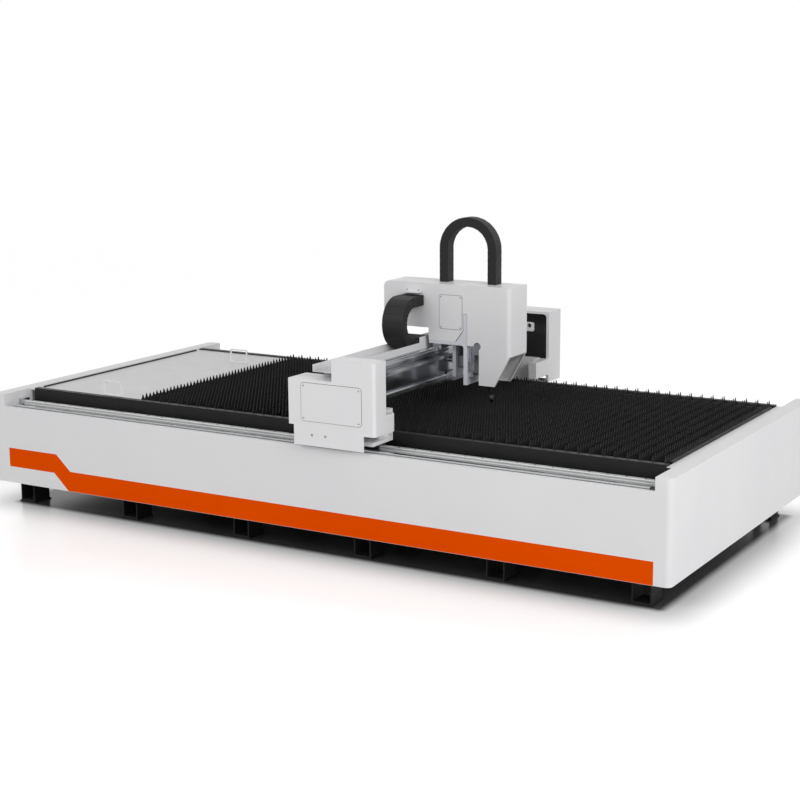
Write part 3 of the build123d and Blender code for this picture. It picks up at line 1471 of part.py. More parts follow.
drawer_bottom = z_at(drawer_low)
with BuildPart() as focus_body:
    with BuildSketch(Plane.XY.offset(body_bottom)) as focus_section:
        with Locations((head_x, head_y)):
            Rectangle(body_width, body_depth)
        chamfer(focus_section.vertices(), body_corner)
    extrude(amount=body_top - body_bottom)
    with Locations((head_x, head_y - body_depth / 2, drawer_bottom)):
        Box(drawer_width, 2 * drawer_depth, drawer_height, align=(Align.CENTER, Align.CENTER, Align.MIN),
            mode=Mode.SUBTRACT)
focus_body.part.label = "focus_body"
export_step(focus_body.part, "parts/focus_body.step")

with BuildPart() as lens_drawer:
    with Locations((head_x, head_y - body_depth / 2 + (drawer_depth - drawer_front) / 2,
                    drawer_bottom + drawer_height / 2)):
        Box(drawer_width, drawer_depth + drawer_front, drawer_height)
    chamfer(lens_drawer.faces().sort_by(Axis.Y)[0].edges(), drawer_front / 2)
lens_drawer.part.label = "lens_drawer"
export_step(lens_drawer.part, "parts/lens_drawer.step")


def turned_stages(stages):
    """Plane, length, radius and taper of each stage of a piece that narrows along its own axis."""
    return [
        (Plane.XY.offset(start), length, radius, math.degrees(math.atan2(radius - end_radius, length)))
        for start, length, radius, end_radius in stages
    ]


def on_nozzle_axis(height, turn):
    """Place of a turned piece whose wide end lies at a height of the machine."""
    return Location((head_x, head_y, z_at(height)), turn)


with BuildPart() as collimator:
    for stage_plane, length, radius, taper in turned_stages(collimator_stages):
        with BuildSketch(stage_plane) as collimator_section:
            RegularPolygon(radius, turned_sides, major_radius=False)
        extrude(amount=length, taper=taper)
placed_collimator = collimator.part.moved(on_nozzle_axis(collimator_bottom, upright))
placed_collimator.label = "collimator"
export_step(placed_collimator, "parts/collimator.step")

with BuildPart() as nozzle_body:
    for stage_plane, length, radius, taper in turned_stages(nozzle_body_stages):
        with BuildSketch(stage_plane) as nozzle_body_section:
            RegularPolygon(radius, turned_sides, major_radius=False)
        extrude(amount=length, taper=taper)
placed_nozzle_body = nozzle_body.part.moved(on_nozzle_axis(nozzle_body_top, upside_down))
placed_nozzle_body.label = "nozzle_body"
export_step(placed_nozzle_body, "parts/nozzle_body.step")

with BuildPart() as ceramic_ring:
    for stage_plane, length, radius, taper in turned_stages(ceramic_stages):
        with BuildSketch(stage_plane) as ceramic_section:
            RegularPolygon(radius, turned_sides, major_radius=False)
        extrude(amount=length, taper=taper)
placed_ceramic_ring = ceramic_ring.part.moved(on_nozzle_axis(nozzle_body_bottom, upside_down))
placed_ceramic_ring.label = "ceramic_ring"
export_step(placed_ceramic_ring, "parts/ceramic_ring.step")

with BuildPart() as nozzle:
    for stage_plane, length, radius, taper in turned_stages(nozzle_stages):
        with BuildSketch(stage_plane) as nozzle_section:
            RegularPolygon(radius, turned_sides, major_radius=False)
        extrude(amount=length, taper=taper)
    with BuildSketch() as beam_passage:
        RegularPolygon(nozzle_bore, 6)
    extrude(amount=nozzle_top - nozzle_tip, mode=Mode.SUBTRACT)
placed_nozzle = nozzle.part.moved(on_nozzle_axis(nozzle_top, upside_down))
placed_nozzle.label = "nozzle"
export_step(placed_nozzle, "parts/nozzle.step")
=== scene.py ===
# %% [markdown]
# # Fiber laser cutting machine
# The machine comes in as a fixed frame: every sheet, rail and block already has its true size and
# place, in metres. This script gives those parts their finishes, and adds what is too fine for the
# frame: real saw teeth on the slats, links on the energy chains, teeth on the racks, the painted
# stripe and the small fasteners.

# %% Load the frame
import bpy
import json
import math
import random
from mathutils import Matrix, Vector


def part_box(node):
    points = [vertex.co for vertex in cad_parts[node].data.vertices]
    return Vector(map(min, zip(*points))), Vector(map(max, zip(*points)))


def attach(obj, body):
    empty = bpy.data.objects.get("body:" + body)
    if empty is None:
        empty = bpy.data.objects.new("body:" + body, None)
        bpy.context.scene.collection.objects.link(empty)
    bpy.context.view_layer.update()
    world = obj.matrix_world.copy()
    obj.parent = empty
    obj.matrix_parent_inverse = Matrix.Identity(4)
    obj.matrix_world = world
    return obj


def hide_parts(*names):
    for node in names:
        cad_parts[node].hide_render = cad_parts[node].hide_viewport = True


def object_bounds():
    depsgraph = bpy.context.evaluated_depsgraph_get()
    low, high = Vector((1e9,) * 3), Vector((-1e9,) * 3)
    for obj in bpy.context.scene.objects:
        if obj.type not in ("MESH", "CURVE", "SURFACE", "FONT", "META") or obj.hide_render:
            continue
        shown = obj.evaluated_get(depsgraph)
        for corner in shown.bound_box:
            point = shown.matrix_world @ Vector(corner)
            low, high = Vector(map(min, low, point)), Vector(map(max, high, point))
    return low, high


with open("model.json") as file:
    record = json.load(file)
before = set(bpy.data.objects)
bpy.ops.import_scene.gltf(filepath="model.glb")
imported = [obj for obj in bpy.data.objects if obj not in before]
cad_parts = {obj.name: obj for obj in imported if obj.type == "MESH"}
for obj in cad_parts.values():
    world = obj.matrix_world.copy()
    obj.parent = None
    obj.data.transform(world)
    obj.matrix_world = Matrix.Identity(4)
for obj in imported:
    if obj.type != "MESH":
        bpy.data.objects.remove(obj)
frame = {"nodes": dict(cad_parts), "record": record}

nodes = frame["nodes"]
machine_low, machine_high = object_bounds()
print("the machine measures", [round(v, 3) for v in machine_high - machine_low], "m")

# %% [markdown]
# ## Colours
# Paint makers and photographs give colours as display values from 0 to 255. A shader works with
# linear light, so each value is converted once, here, by the standard display curve.

# %% Colour helper
def display_colour(red, green, blue):
    """A linear RGBA colour from three display values between 0 and 255."""
    full, knee, slope, offset, power = 255, 0.04045, 12.92, 0.055, 2.4
    linear = []
    for value in (red, green, blue):
        share = value / full
        linear.append(share / slope if share <= knee else ((share + offset) / (1 + offset)) ** power)
    return (*linear, 1.0)


print("panel grey in linear light:", round(display_colour(219, 219, 220)[0], 3))

# %% [markdown]
# ## Shared surface effects
# Powder coat is never perfectly even: it has a faint orange-peel skin and settles a little
# differently over a large sheet. Machined metal shows the lines of the grinding wheel. Steel in a
# cutting machine carries dust and scale. Each of these effects is a node group, built once, with
# sockets for its scale and strength, and every material places it with its own values.

# %% Node helpers
noise_low, noise_high = 0.3, 0.7


def start_group(name, inputs, outputs):
    """A new shader node group with named sockets, and its input and output nodes."""
    group = bpy.data.node_groups.new(name, "ShaderNodeTree")
    for socket, kind, value in inputs:
        made = group.interface.new_socket(name=socket, in_out="INPUT", socket_type=kind)
        made.default_value = value
    for socket, kind in outputs:
        group.interface.new_socket(name=socket, in_out="OUTPUT", socket_type=kind)
    return group, group.nodes.new("NodeGroupInput"), group.nodes.new("NodeGroupOutput")


def feed(tree, source, socket):
    """Sets a socket to a plain value, or links it to a source that is a socket itself."""
    if isinstance(source, (int, float, tuple)):
        socket.default_value = source
    else:
        tree.links.new(source, socket)


def noise_in(tree, place, scale, detail):
    """A noise texture read at a place in the part."""
    noise = tree.nodes.new("ShaderNodeTexNoise")
    noise.inputs["Detail"].default_value = detail
    feed(tree, place, noise.inputs["Vector"])
    feed(tree, scale, noise.inputs["Scale"])
    return noise.outputs["Fac"]


def spread(tree, value, low, high):
    """A noise's value, most of which lies in the noise's middle range, mapped onto low to high."""
    mapped = tree.nodes.new("ShaderNodeMapRange")
    sources = {"Value": value, "From Min": noise_low, "From Max": noise_high, "To Min": low, "To Max": high}
    for socket, source in sources.items():
        feed(tree, source, mapped.inputs[socket])
    return mapped.outputs["Result"]


def tint(tree, mask, first, second):
    """Mixes two colours by a mask; each may be a colour or a socket."""
    mix = tree.nodes.new("ShaderNodeMix")
    mix.data_type = "RGBA"
    first_input, second_input = [socket for socket in mix.inputs if socket.type == "RGBA"]
    feed(tree, mask, mix.inputs["Factor"])
    feed(tree, first, first_input)
    feed(tree, second, second_input)
    return [socket for socket in mix.outputs if socket.type == "RGBA"][0]


print("a noise is read between", noise_low, "and", noise_high)

# %% [markdown]
# ### Powder coat
# The sheets are powder coated. Three noises at different scales make it: a slow cloud between two
# close shades, a patchy roughness from handling, and the orange peel as height.

# %% Powder coat
effect_outputs = [("Colour", "NodeSocketColor"),
                  ("Roughness", "NodeSocketFloat"),
                  ("Height", "NodeSocketFloat")]
coat_sockets = [("Paint", "NodeSocketColor", (0.8, 0.8, 0.8, 1)),
                ("Deeper Paint", "NodeSocketColor", (0.7, 0.7, 0.7, 1)),
                ("Peel Scale", "NodeSocketFloat", 900.0),
                ("Smooth", "NodeSocketFloat", 0.35),
                ("Rough", "NodeSocketFloat", 0.5)]
powder_coat, coat_in, coat_out = start_group("powder_coat", coat_sockets, effect_outputs)
coat_place = powder_coat.nodes.new("ShaderNodeTexCoord").outputs["Object"]
cloud = noise_in(powder_coat, coat_place, scale=2.2, detail=5.0)
peel = noise_in(powder_coat, coat_place, scale=coat_in.outputs["Peel Scale"], detail=2.0)
handling = noise_in(powder_coat, coat_place, scale=14.0, detail=6.0)
coat_shade = tint(powder_coat, spread(powder_coat, cloud, 0.0, 1.0), coat_in.outputs["Paint"],
                  coat_in.outputs["Deeper Paint"])
coat_sheen = spread(powder_coat, handling, coat_in.outputs["Smooth"], coat_in.outputs["Rough"])
powder_coat.links.new(coat_shade, coat_out.inputs["Colour"])
powder_coat.links.new(coat_sheen, coat_out.inputs["Roughness"])
powder_coat.links.new(peel, coat_out.inputs["Height"])
print(powder_coat.name, "has", len(powder_coat.nodes), "nodes")

# %% [markdown]
# ### Ground and brushed metal
# A grinding wheel leaves fine lines along the way it went. A noise that is squeezed hard across the
# lines and hardly along them gives just that, and a second, even noise makes the sheen patchy.

# %% Ground and brushed metal
brush_sockets = [("Metal", "NodeSocketColor", (0.6, 0.6, 0.6, 1)),
                 ("Darker Metal", "NodeSocketColor", (0.4, 0.4, 0.4, 1)),
                 ("Stretch", "NodeSocketVector", (3.0, 400.0, 400.0)),
                 ("Smooth", "NodeSocketFloat", 0.2),
                 ("Rough", "NodeSocketFloat", 0.4)]
brushed_metal, brush_in, brush_out = start_group("brushed_metal", brush_sockets, effect_outputs)
brush_place = brushed_metal.nodes.new("ShaderNodeTexCoord").outputs["Object"]
stretched = brushed_metal.nodes.new("ShaderNodeVectorMath")
stretched.operation = "MULTIPLY"
brushed_metal.links.new(brush_place, stretched.inputs[0])
brushed_metal.links.new(brush_in.outputs["Stretch"], stretched.inputs[1])
brush_line = noise_in(brushed_metal, stretched.outputs["Vector"], scale=1.0, detail=3.0)
brush_patch = noise_in(brushed_metal, brush_place, scale=9.0, detail=4.0)
brush_shade = tint(brushed_metal, spread(brushed_metal, brush_line, 0.0, 1.0), brush_in.outputs["Metal"],
                   brush_in.outputs["Darker Metal"])
brush_sheen = spread(brushed_metal, brush_patch, brush_in.outputs["Smooth"], brush_in.outputs["Rough"])
brushed_metal.links.new(brush_shade, brush_out.inputs["Colour"])
brushed_metal.links.new(brush_sheen, brush_out.inputs["Roughness"])
brushed_metal.links.new(brush_line, brush_out.inputs["Height"])
print(brushed_metal.name, "has", len(brushed_metal.nodes), "nodes")

# %% [markdown]
# ### Settled dust
# Dust and scale fall from above, so they lie on what faces up. The mask is the upward share of the
# surface's normal times a fine noise, and it mixes the dust's colour over the clean one.

# %% Settled dust
dust_sockets = [("Clean", "NodeSocketColor", (0.5, 0.5, 0.5, 1)),
                ("Dust", "NodeSocketColor", (0.5, 0.45, 0.4, 1)),
                ("Amount", "NodeSocketFloat", 0.3)]
settled_dust, dust_in, dust_out = start_group("settled_dust", dust_sockets, [("Colour", "NodeSocketColor")])
dust_place = settled_dust.nodes.new("ShaderNodeTexCoord").outputs["Object"]
speck = noise_in(settled_dust, dust_place, scale=60.0, detail=8.0)
facing = settled_dust.nodes.new("ShaderNodeSeparateXYZ")
surface_normal = settled_dust.nodes.new("ShaderNodeNewGeometry").outputs["Normal"]
settled_dust.links.new(surface_normal, facing.inputs["Vector"])
upward = settled_dust.nodes.new("ShaderNodeMath")
upward.operation = "MULTIPLY"
upward.use_clamp = True
settled_dust.links.new(facing.outputs["Z"], upward.inputs[0])
settled_dust.links.new(spread(settled_dust, speck, 0.0, dust_in.outputs["Amount"]), upward.inputs[1])
dusty_shade = tint(settled_dust, upward.outputs["Value"], dust_in.outputs["Clean"], dust_in.outputs["Dust"])
settled_dust.links.new(dusty_shade, dust_out.inputs["Colour"])
print("effects:", [group.name for group in bpy.data.node_groups])

# %% [markdown]
# ## Finishes
# A finish is a Principled surface with one of the effects on it. What is the same all over, such as
# metalness or the clear coat, is set on the shader itself; what changes over the surface comes from
# the group. A Bump node turns the effect's height into the fine relief that breaks up a highlight.

# %% Finish helper
workshop_dust = display_colour(120, 112, 104)
clear_coat_roughness = 0.25
brush_relief = 0.008


def make_finish(name, effect, values, metallic=0.0, coat=0.0, relief=0.0001, strength=0.25, dust=0.0,
                gloss=0.5):
    """A material: one effect group, and optionally dust over it, on a Principled surface."""
    finish = bpy.data.materials.new(name)
    finish.use_nodes = True
    tree = finish.node_tree
    surface = tree.nodes["Principled BSDF"]
    surface.inputs["Metallic"].default_value = metallic
    surface.inputs["Coat Weight"].default_value = coat
    surface.inputs["Coat Roughness"].default_value = clear_coat_roughness
    surface.inputs["Specular IOR Level"].default_value = gloss
    group = tree.nodes.new("ShaderNodeGroup")
    group.node_tree = effect
    for socket, value in values.items():
        group.inputs[socket].default_value = value
    colour = group.outputs["Colour"]
    if dust:
        layer = tree.nodes.new("ShaderNodeGroup")
        layer.node_tree = settled_dust
        tree.links.new(colour, layer.inputs["Clean"])
        layer.inputs["Dust"].default_value = workshop_dust
        layer.inputs["Amount"].default_value = dust
        colour = layer.outputs["Colour"]
    tree.links.new(colour, surface.inputs["Base Color"])
    tree.links.new(group.outputs["Roughness"], surface.inputs["Roughness"])
    bump = tree.nodes.new("ShaderNodeBump")
    bump.inputs["Distance"].default_value = relief
    bump.inputs["Strength"].default_value = strength
    tree.links.new(group.outputs["Height"], bump.inputs["Height"])
    tree.links.new(bump.outputs["Normal"], surface.inputs["Normal"])
    return finish


def paint(name, bright, deep, smooth, rough, peel_scale=900.0, coat=0.0, dust=0.0, relief=0.0001, gloss=0.5):
    """A powder-coated finish between two close shades, given as display values."""
    values = {"Paint": display_colour(*bright), "Deeper Paint": display_colour(*deep), "Smooth": smooth,
              "Rough": rough, "Peel Scale": peel_scale}
    return make_finish(name, powder_coat, values, coat=coat, dust=dust, relief=relief, gloss=gloss)


def metal(name, bright, deep, stretch, smooth, rough, metallic=1.0):
    """A ground or brushed metal whose lines run along the axis with the smallest stretch."""
    values = {"Metal": display_colour(*bright), "Darker Metal": display_colour(*deep), "Stretch": stretch,
              "Smooth": smooth, "Rough": rough}
    return make_finish(name, brushed_metal, values, metallic=metallic, strength=brush_relief)


print("dust in linear light:", [round(value, 3) for value in workshop_dust[:3]])

# %% [markdown]
# ### The finishes of this machine
# The sheets are a cool light grey, the frame and the table nearly black, the rails bright ground
# steel. Each finish is two close shades and the roughness at its smoothest and roughest places. Steel
# has its lines along the way it was ground.

# %% The finishes of this machine
along_x, along_y, along_z = (3.0, 500.0, 500.0), (500.0, 3.0, 500.0), (500.0, 500.0, 3.0)
finishes = {
    "bed_paint": paint("bed_powder_coat", (219, 219, 220), (215, 215, 217), 0.34, 0.46, coat=0.1),
    "frame_paint": paint("frame_black_paint", (22, 22, 23), (17, 17, 18), 0.5, 0.7, dust=0.06, gloss=0.35),
    "table_black": paint("table_black_paint", (22, 22, 23), (17, 17, 18), 0.42, 0.6, dust=0.04, gloss=0.35),
    "plate_paint": paint("cover_plate_paint", (210, 210, 211), (204, 204, 205), 0.32, 0.46, dust=0.06),
    "ring_paint": paint("ring_white_paint", (238, 238, 238), (230, 230, 230), 0.25, 0.4),
    "saddle_paint": paint("saddle_paint", (222, 222, 223), (214, 214, 216), 0.34, 0.5),
    "cover_paint": paint("cover_powder_coat", (222, 222, 223), (218, 218, 220), 0.32, 0.44, coat=0.1),
    "tray_paint": paint("tray_paint", (214, 214, 215), (208, 208, 210), 0.32, 0.48),
    "carriage_metal": paint("carriage_paint", (212, 213, 218), (203, 205, 212), 0.28, 0.4),
    "rail_steel": metal("ground_rail_steel", (224, 225, 226), (200, 201, 203), along_x, 0.14, 0.24),
    "block_steel": metal("bearing_block_steel", (176, 178, 183), (140, 142, 148), along_x, 0.25, 0.38),
    "beam_aluminium": metal("beam_aluminium", (172, 174, 177), (158, 160, 164), along_y, 0.14, 0.22),
    "gearbox_steel": metal("gearbox_steel", (150, 152, 156), (112, 114, 118), along_z, 0.3, 0.45),
    "screw_steel": metal("zinc_screw", (150, 152, 156), (110, 112, 116), along_z, 0.3, 0.45),
    "drawer_metal": metal("drawer_metal", (170, 172, 176), (140, 142, 148), along_x, 0.25, 0.4),
    "nozzle_brass": metal("nozzle_brass", (112, 98, 78), (76, 66, 52), along_z, 0.25, 0.4),
    "motor_black": paint("motor_black", (32, 32, 34), (25, 25, 27), 0.35, 0.5, peel_scale=1400.0),
    "head_black": paint("head_black_anodised", (34, 34, 36), (26, 26, 28), 0.3, 0.42, peel_scale=1600.0),
    "ceramic_white": paint("glazed_ceramic", (96, 95, 92), (70, 69, 67), 0.12, 0.2, peel_scale=300.0,
                           coat=0.4),
    "chain_plastic": paint("chain_nylon", (27, 27, 28), (23, 23, 24), 0.46, 0.56, peel_scale=700.0,
                           relief=0.00005, gloss=0.3),
    "slat_steel": paint("slat_scale", (20, 20, 20), (12, 12, 13), 0.5, 0.72, peel_scale=240.0, dust=0.05,
                        relief=0.0004, gloss=0.35),
}
bed_rail_steel = metal("ground_bed_rail_steel", (238, 239, 239), (228, 229, 230), along_x, 0.28, 0.4,
                       metallic=0.5)
cross_rail_steel = metal("ground_cross_rail_steel", (228, 229, 231), (198, 200, 204), along_y, 0.14, 0.28)
upright_rail_steel = metal("ground_vertical_rail_steel", (222, 224, 232), (190, 193, 206), along_z, 0.14,
                           0.28)
print(len(bpy.data.materials), "finishes")

# %% [markdown]
# ## Dressing the frame's parts
# Each part of the frame names the finish slot that it takes in its record. Rails are ground along
# their own length, so each direction gets its own version of the steel.

# %% Finishes on the frame's parts
slot_of = {row["node"]: row["material_slot"] for row in frame["record"]["subparts"]}
own_finish = {"x_rails": bed_rail_steel, "y_rails": cross_rail_steel, "y_rack": cross_rail_steel,
              "y_pinion": cross_rail_steel, "z_rails": upright_rail_steel,
              "z_ball_screw": upright_rail_steel}
for name, part in nodes.items():
    part.data.materials.clear()
    part.data.materials.append(own_finish.get(name, finishes[slot_of[name]]))
print(len(nodes), "parts have a finish")

# %% [markdown]
# ### Bevelled edges
# No folded sheet or machined block has a perfectly sharp edge. A modifier rounds those of the frame's
# parts that are looked at from near, and leaves their meshes as they came.

# %% Bevels
fold_angle = math.radians(40)
bevel_widths = {"left_end_cap": 0.003, "right_end_cap": 0.003, "front_panel": 0.0012, "back_panel": 0.0012,
                "front_cover": 0.0012, "back_cover": 0.0012, "head_cover": 0.0012, "cable_tray": 0.0008,
                "gantry_beam": 0.0012, "carriage_plate": 0.0015, "table_plate": 0.001,
                "front_slat_beam": 0.0025, "back_slat_beam": 0.0025, "x_bearing_blocks": 0.0015,
                "y_bearing_blocks": 0.0015, "z_bearing_blocks": 0.0012, "z_slide_plate": 0.001,
                "front_saddle": 0.0015, "back_saddle": 0.0015, "plate_handles": 0.0025,
                "focus_body": 0.0015, "y_gearbox": 0.001}
for name, width in bevel_widths.items():
    bevel = nodes[name].modifiers.new("folded_edge", "BEVEL")
    bevel.width = width
    bevel.segments = 2
    bevel.limit_method = "ANGLE"
    bevel.angle_limit = fold_angle
print(len(bevel_widths), "parts have bevelled edges")

# %% [markdown]
# ## Meshes of our own
# What follows is built point by point and face by face, straight into a mesh. The helper takes
# points in metres in the machine's frame, so that each piece lands where it belongs, and makes it
# ride on the body it is fixed to.

# %% Mesh helper
def make_piece(name, points, faces, finish, body):
    """A mesh piece that rides on a body and takes one finish."""
    mesh = bpy.data.meshes.new(name)
    mesh.from_pydata(points, [], faces)
    mesh.validate()
    mesh.materials.append(finish)
    mesh.shade_flat()
    piece = bpy.data.objects.new(name, mesh)
    bpy.context.scene.collection.objects.link(piece)
    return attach(piece, body)


def loft_faces(count, rings, first=0):
    """Quads between rings of count points each, with the two end rings closed."""
    faces = []
    for ring in range(rings - 1):
        a, b = first + ring * count, first + (ring + 1) * count
        for i in range(count):
            j = (i + 1) % count
            faces.append((a + i, a + j, b + j, b + i))
    faces.append(tuple(range(first + count - 1, first - 1, -1)))
    faces.append(tuple(range(first + (rings - 1) * count, first + rings * count)))
    return faces


print("a box is", len(loft_faces(4, 2)), "faces")

# %% [markdown]
# ## Slats
# The sheet metal rests on rows of upright steel strips with a saw-tooth edge, so that it touches the
# table at points only and the beam does little harm. The frame carries a few coarse teeth on each
# slat. Here every slat gets its forty-nine sharp ones: a narrow flat between the teeth, and flanks
# that rise to a small blunt tip. The teeth of one strip are a single outline, extruded by the strip's
# thickness, and the strip is repeated along the table. Slats are burnt and bumped in use, so the
# tips of each strip stand a little differently, by a seeded random amount.

# %% The saw-tooth slats
slat_low, slat_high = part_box("slats")
slat_count = 50
slat_thickness = 0.004
slat_pitch = (slat_high.x - slat_low.x - slat_thickness) / (slat_count - 1)
tooth_count = 49
tooth_height = 0.030
tooth_tip = 0.0016
tip_wander = 0.0015
deepest_wear = 0.007
valley_width = 0.008
tooth_pitch = (slat_high.y - slat_low.y) / tooth_count
valley = slat_high.z - tooth_height
wear_seed = 7
wear = random.Random(wear_seed)
slat_points, slat_faces = [], []
for n in range(slat_count):
    outline = [(slat_low.y, slat_low.z), (slat_high.y, slat_low.z), (slat_high.y, valley)]
    for tooth in range(tooth_count):
        right_side = slat_high.y - tooth * tooth_pitch
        middle = right_side - tooth_pitch / 2 + wear.uniform(-tip_wander, tip_wander)
        tip = slat_high.z - wear.random() ** 3 * deepest_wear
        outline += [(right_side - valley_width / 2, valley), (middle + tooth_tip / 2, tip),
                    (middle - tooth_tip / 2, tip), (right_side - tooth_pitch + valley_width / 2, valley)]
    outline.append((slat_low.y, valley))
    start = slat_low.x + n * slat_pitch
    first = len(slat_points)
    for x in (start, start + slat_thickness):
        slat_points += [(x, y, z) for y, z in outline]
    slat_faces += loft_faces(len(outline), 2, first=first)
slat_rows = make_piece("slat_rows", slat_points, slat_faces, finishes["slat_steel"], "bed")
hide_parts("slats")
print("slats:", slat_count, "with", tooth_count, "teeth each")

# %% [markdown]
# ## Painted stripe
# A stripe in a warm accent colour runs along the foot of the operator's side. It starts as a band
# higher up at the left, steps down along a slanted kink, and runs on to the right end. On the real
# panel it is a second coat sprayed over the first, so it is a film of a fifth of a millimetre that
# lies on the sheet, with its own paint.

# %% The stripe
panel_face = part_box("front_panel")[0]
film = 0.0002
left_end, right_end = 0.121, 4.506
band_foot, band_top = 0.105, 0.226
run_foot, run_top = 0.0012, 0.127
foot_kink_start, foot_kink_end = 0.494, 0.606
top_kink_start, top_kink_end = 0.517, 0.627
stripe_paint = paint("stripe_paint", (222, 76, 0), (216, 72, 0), 0.5, 0.6, gloss=0.0)
stripe_outline = [(left_end, band_foot), (foot_kink_start, band_foot), (foot_kink_end, run_foot),
                  (right_end, run_foot), (right_end, run_top), (top_kink_end, run_top),
                  (top_kink_start, band_top), (left_end, band_top)]
stripe_points = [(machine_low.x + distance, y, panel_face.z + height)
                 for y in (panel_face.y, panel_face.y - film) for distance, height in stripe_outline]
stripe_faces = loft_faces(len(stripe_outline), 2)
make_piece("accent_stripe", stripe_points, stripe_faces, stripe_paint, "bed")
print("the stripe is", round(right_end - left_end, 2), "m long")

# %% [markdown]
# ## Energy chains
# Cables and hoses reach the moving carriage inside chains of closed nylon links. A chain lies in a
# plane, on a path of straight runs and arcs, so the path is worked out first: for any distance along
# it, the point and the direction there.

# %% Path of a chain
def chain_path(runs):
    """Samples (point, direction) at any distance along straight runs and arcs, and their whole length."""
    def at(distance):
        for run in runs:
            kind, length, start, data = run
            if distance <= length or run == runs[-1]:
                break
            distance -= length
        if kind == "straight":
            return start + data * distance, data
        centre, radius, turn = data
        angle = turn * distance / radius
        arm = start - centre
        cosine, sine = math.cos(angle), math.sin(angle)
        turned = Vector((arm.x * cosine - arm.y * sine, arm.x * sine + arm.y * cosine))
        direction = Vector((-turned.y, turned.x)).normalized() * turn
        return centre + turned, direction
    return at, sum(run[1] for run in runs)


quarter = [("arc", math.pi / 2, Vector((1.0, 0.0)), (Vector((0.0, 0.0)), 1.0, 1))]
print("a quarter turn ends at", [round(value, 3) for value in chain_path(quarter)[0](math.pi / 2)[0]])

# %% [markdown]
# ### Links
# A link is a short box; where the chain bends, its outer wall is longer than its inner one. So each
# link is cut from the chain's path: its two ends stand square to the path, and the four corners of
# the section follow it in a few steps, so that the bend stays smooth. A bevel rounds the edges, a
# slim core closes the hairline gaps between the links, and a low round boss on each side marks the
# joint pin.

# %% Links of a chain
link_pitch, link_gap, link_rings = 0.041, 0.0005, 6
link_rounding, link_edge_angle = 0.003, math.radians(50)
core_inset = 0.0012
pin_radius, pin_rise, pin_sides = 0.011, 0.0006, 20
pin_rim_share, pin_crown_share = 0.7, 0.88


def section_corners(point, direction, half_height, low, high, place):
    """The four corners of the chain's section at a point of its path."""
    side = Vector((-direction.y, direction.x)) * half_height
    corners = ((side, low), (-side, low), (-side, high), (side, high))
    return [place(point + offset, across) for offset, across in corners]


def chain_links(name, at, total, height, low, high, place, body, replaced):
    """Bevelled links; place turns (path point, distance across) into a point in the machine."""
    count = round(total / link_pitch)
    step = total / count
    points, faces = [], []
    for n in range(count):
        first = len(points)
        for ring in range(link_rings):
            distance = n * step + link_gap + (step - 2 * link_gap) * ring / (link_rings - 1)
            points += section_corners(*at(distance), height / 2, low, high, place)
        faces += loft_faces(4, link_rings, first=first)
    core_rings = link_rings * count
    core_walls = (low + core_inset, high - core_inset)
    first = len(points)
    for n in range(core_rings + 1):
        distance = min(max(total * n / core_rings, link_gap * 2), total - link_gap * 2)
        points += section_corners(*at(distance), height / 2 - core_inset, *core_walls, place)
    faces += loft_faces(4, core_rings + 1, first=first)
    chain = make_piece(name, points, faces, finishes["chain_plastic"], body)
    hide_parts(replaced)
    rounding = chain.modifiers.new("link_edges", "BEVEL")
    rounding.width = link_rounding
    rounding.segments = 3
    rounding.limit_method = "ANGLE"
    rounding.angle_limit = link_edge_angle
    pins, pin_faces = [], []
    crown_radius = pin_radius * pin_crown_share
    for n in range(1, count):
        point = at(n * step)[0]
        for wall, out in ((low, -pin_rise), (high, pin_rise)):
            first = len(pins)
            rings = ((pin_radius, 0.0), (pin_radius, out * pin_rim_share), (crown_radius, out))
            for radius, lift in rings:
                for k in range(pin_sides):
                    angle = 2 * math.pi * k / pin_sides
                    offset = Vector((math.cos(angle), math.sin(angle))) * radius
                    pins.append(place(point + offset, wall + lift))
            pin_faces += loft_faces(pin_sides, len(rings), first=first)
    pins_piece = make_piece(name + "_pins", pins, pin_faces, finishes["chain_plastic"], body)
    for piece in (chain, pins_piece):
        outward = piece.modifiers.new("even_normals", "WEIGHTED_NORMAL")
        outward.keep_sharp = True
    return count


print("a link is", round(link_pitch * 1000), "mm long")

# %% [markdown]
# ### The chain of the cross carriage
# This chain runs along the gantry: out of the head cover, down round a half circle, and back on the
# tray. So its path is two straight runs and an arc between them, in the upright plane across the bed.

# %% Cross chain
cross_low, cross_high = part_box("y_energy_chain")
cross_height = 0.062
cross_radius = (cross_high.z - cross_low.z - cross_height) / 2
head_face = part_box("head_cover")[0].y
bend_y = cross_low.y + cross_radius + cross_height / 2
middle_z = (cross_low.z + cross_high.z) / 2
upper_start = Vector((head_face, middle_z + cross_radius))
bend_start = Vector((bend_y, middle_z + cross_radius))
lower_start = Vector((bend_y, middle_z - cross_radius))
cross_runs = [("straight", head_face - bend_y, upper_start, Vector((-1.0, 0.0))),
              ("arc", math.pi * cross_radius, bend_start, (Vector((bend_y, middle_z)), cross_radius, 1)),
              ("straight", cross_high.y - bend_y, lower_start, Vector((1.0, 0.0)))]
cross_at, cross_total = chain_path(cross_runs)
cross_count = chain_links("cross_chain", cross_at, cross_total, cross_height, cross_low.x, cross_high.x,
                          lambda p, across: (across, p.x, p.y), "carriage", "y_energy_chain")
print("the cross chain has", cross_count, "links")

# %% [markdown]
# ### The arched chain
# The vertical axis has its own chain, which stands up from the head cover in an arch. It is the same
# kind of path, with its two straight runs upright.

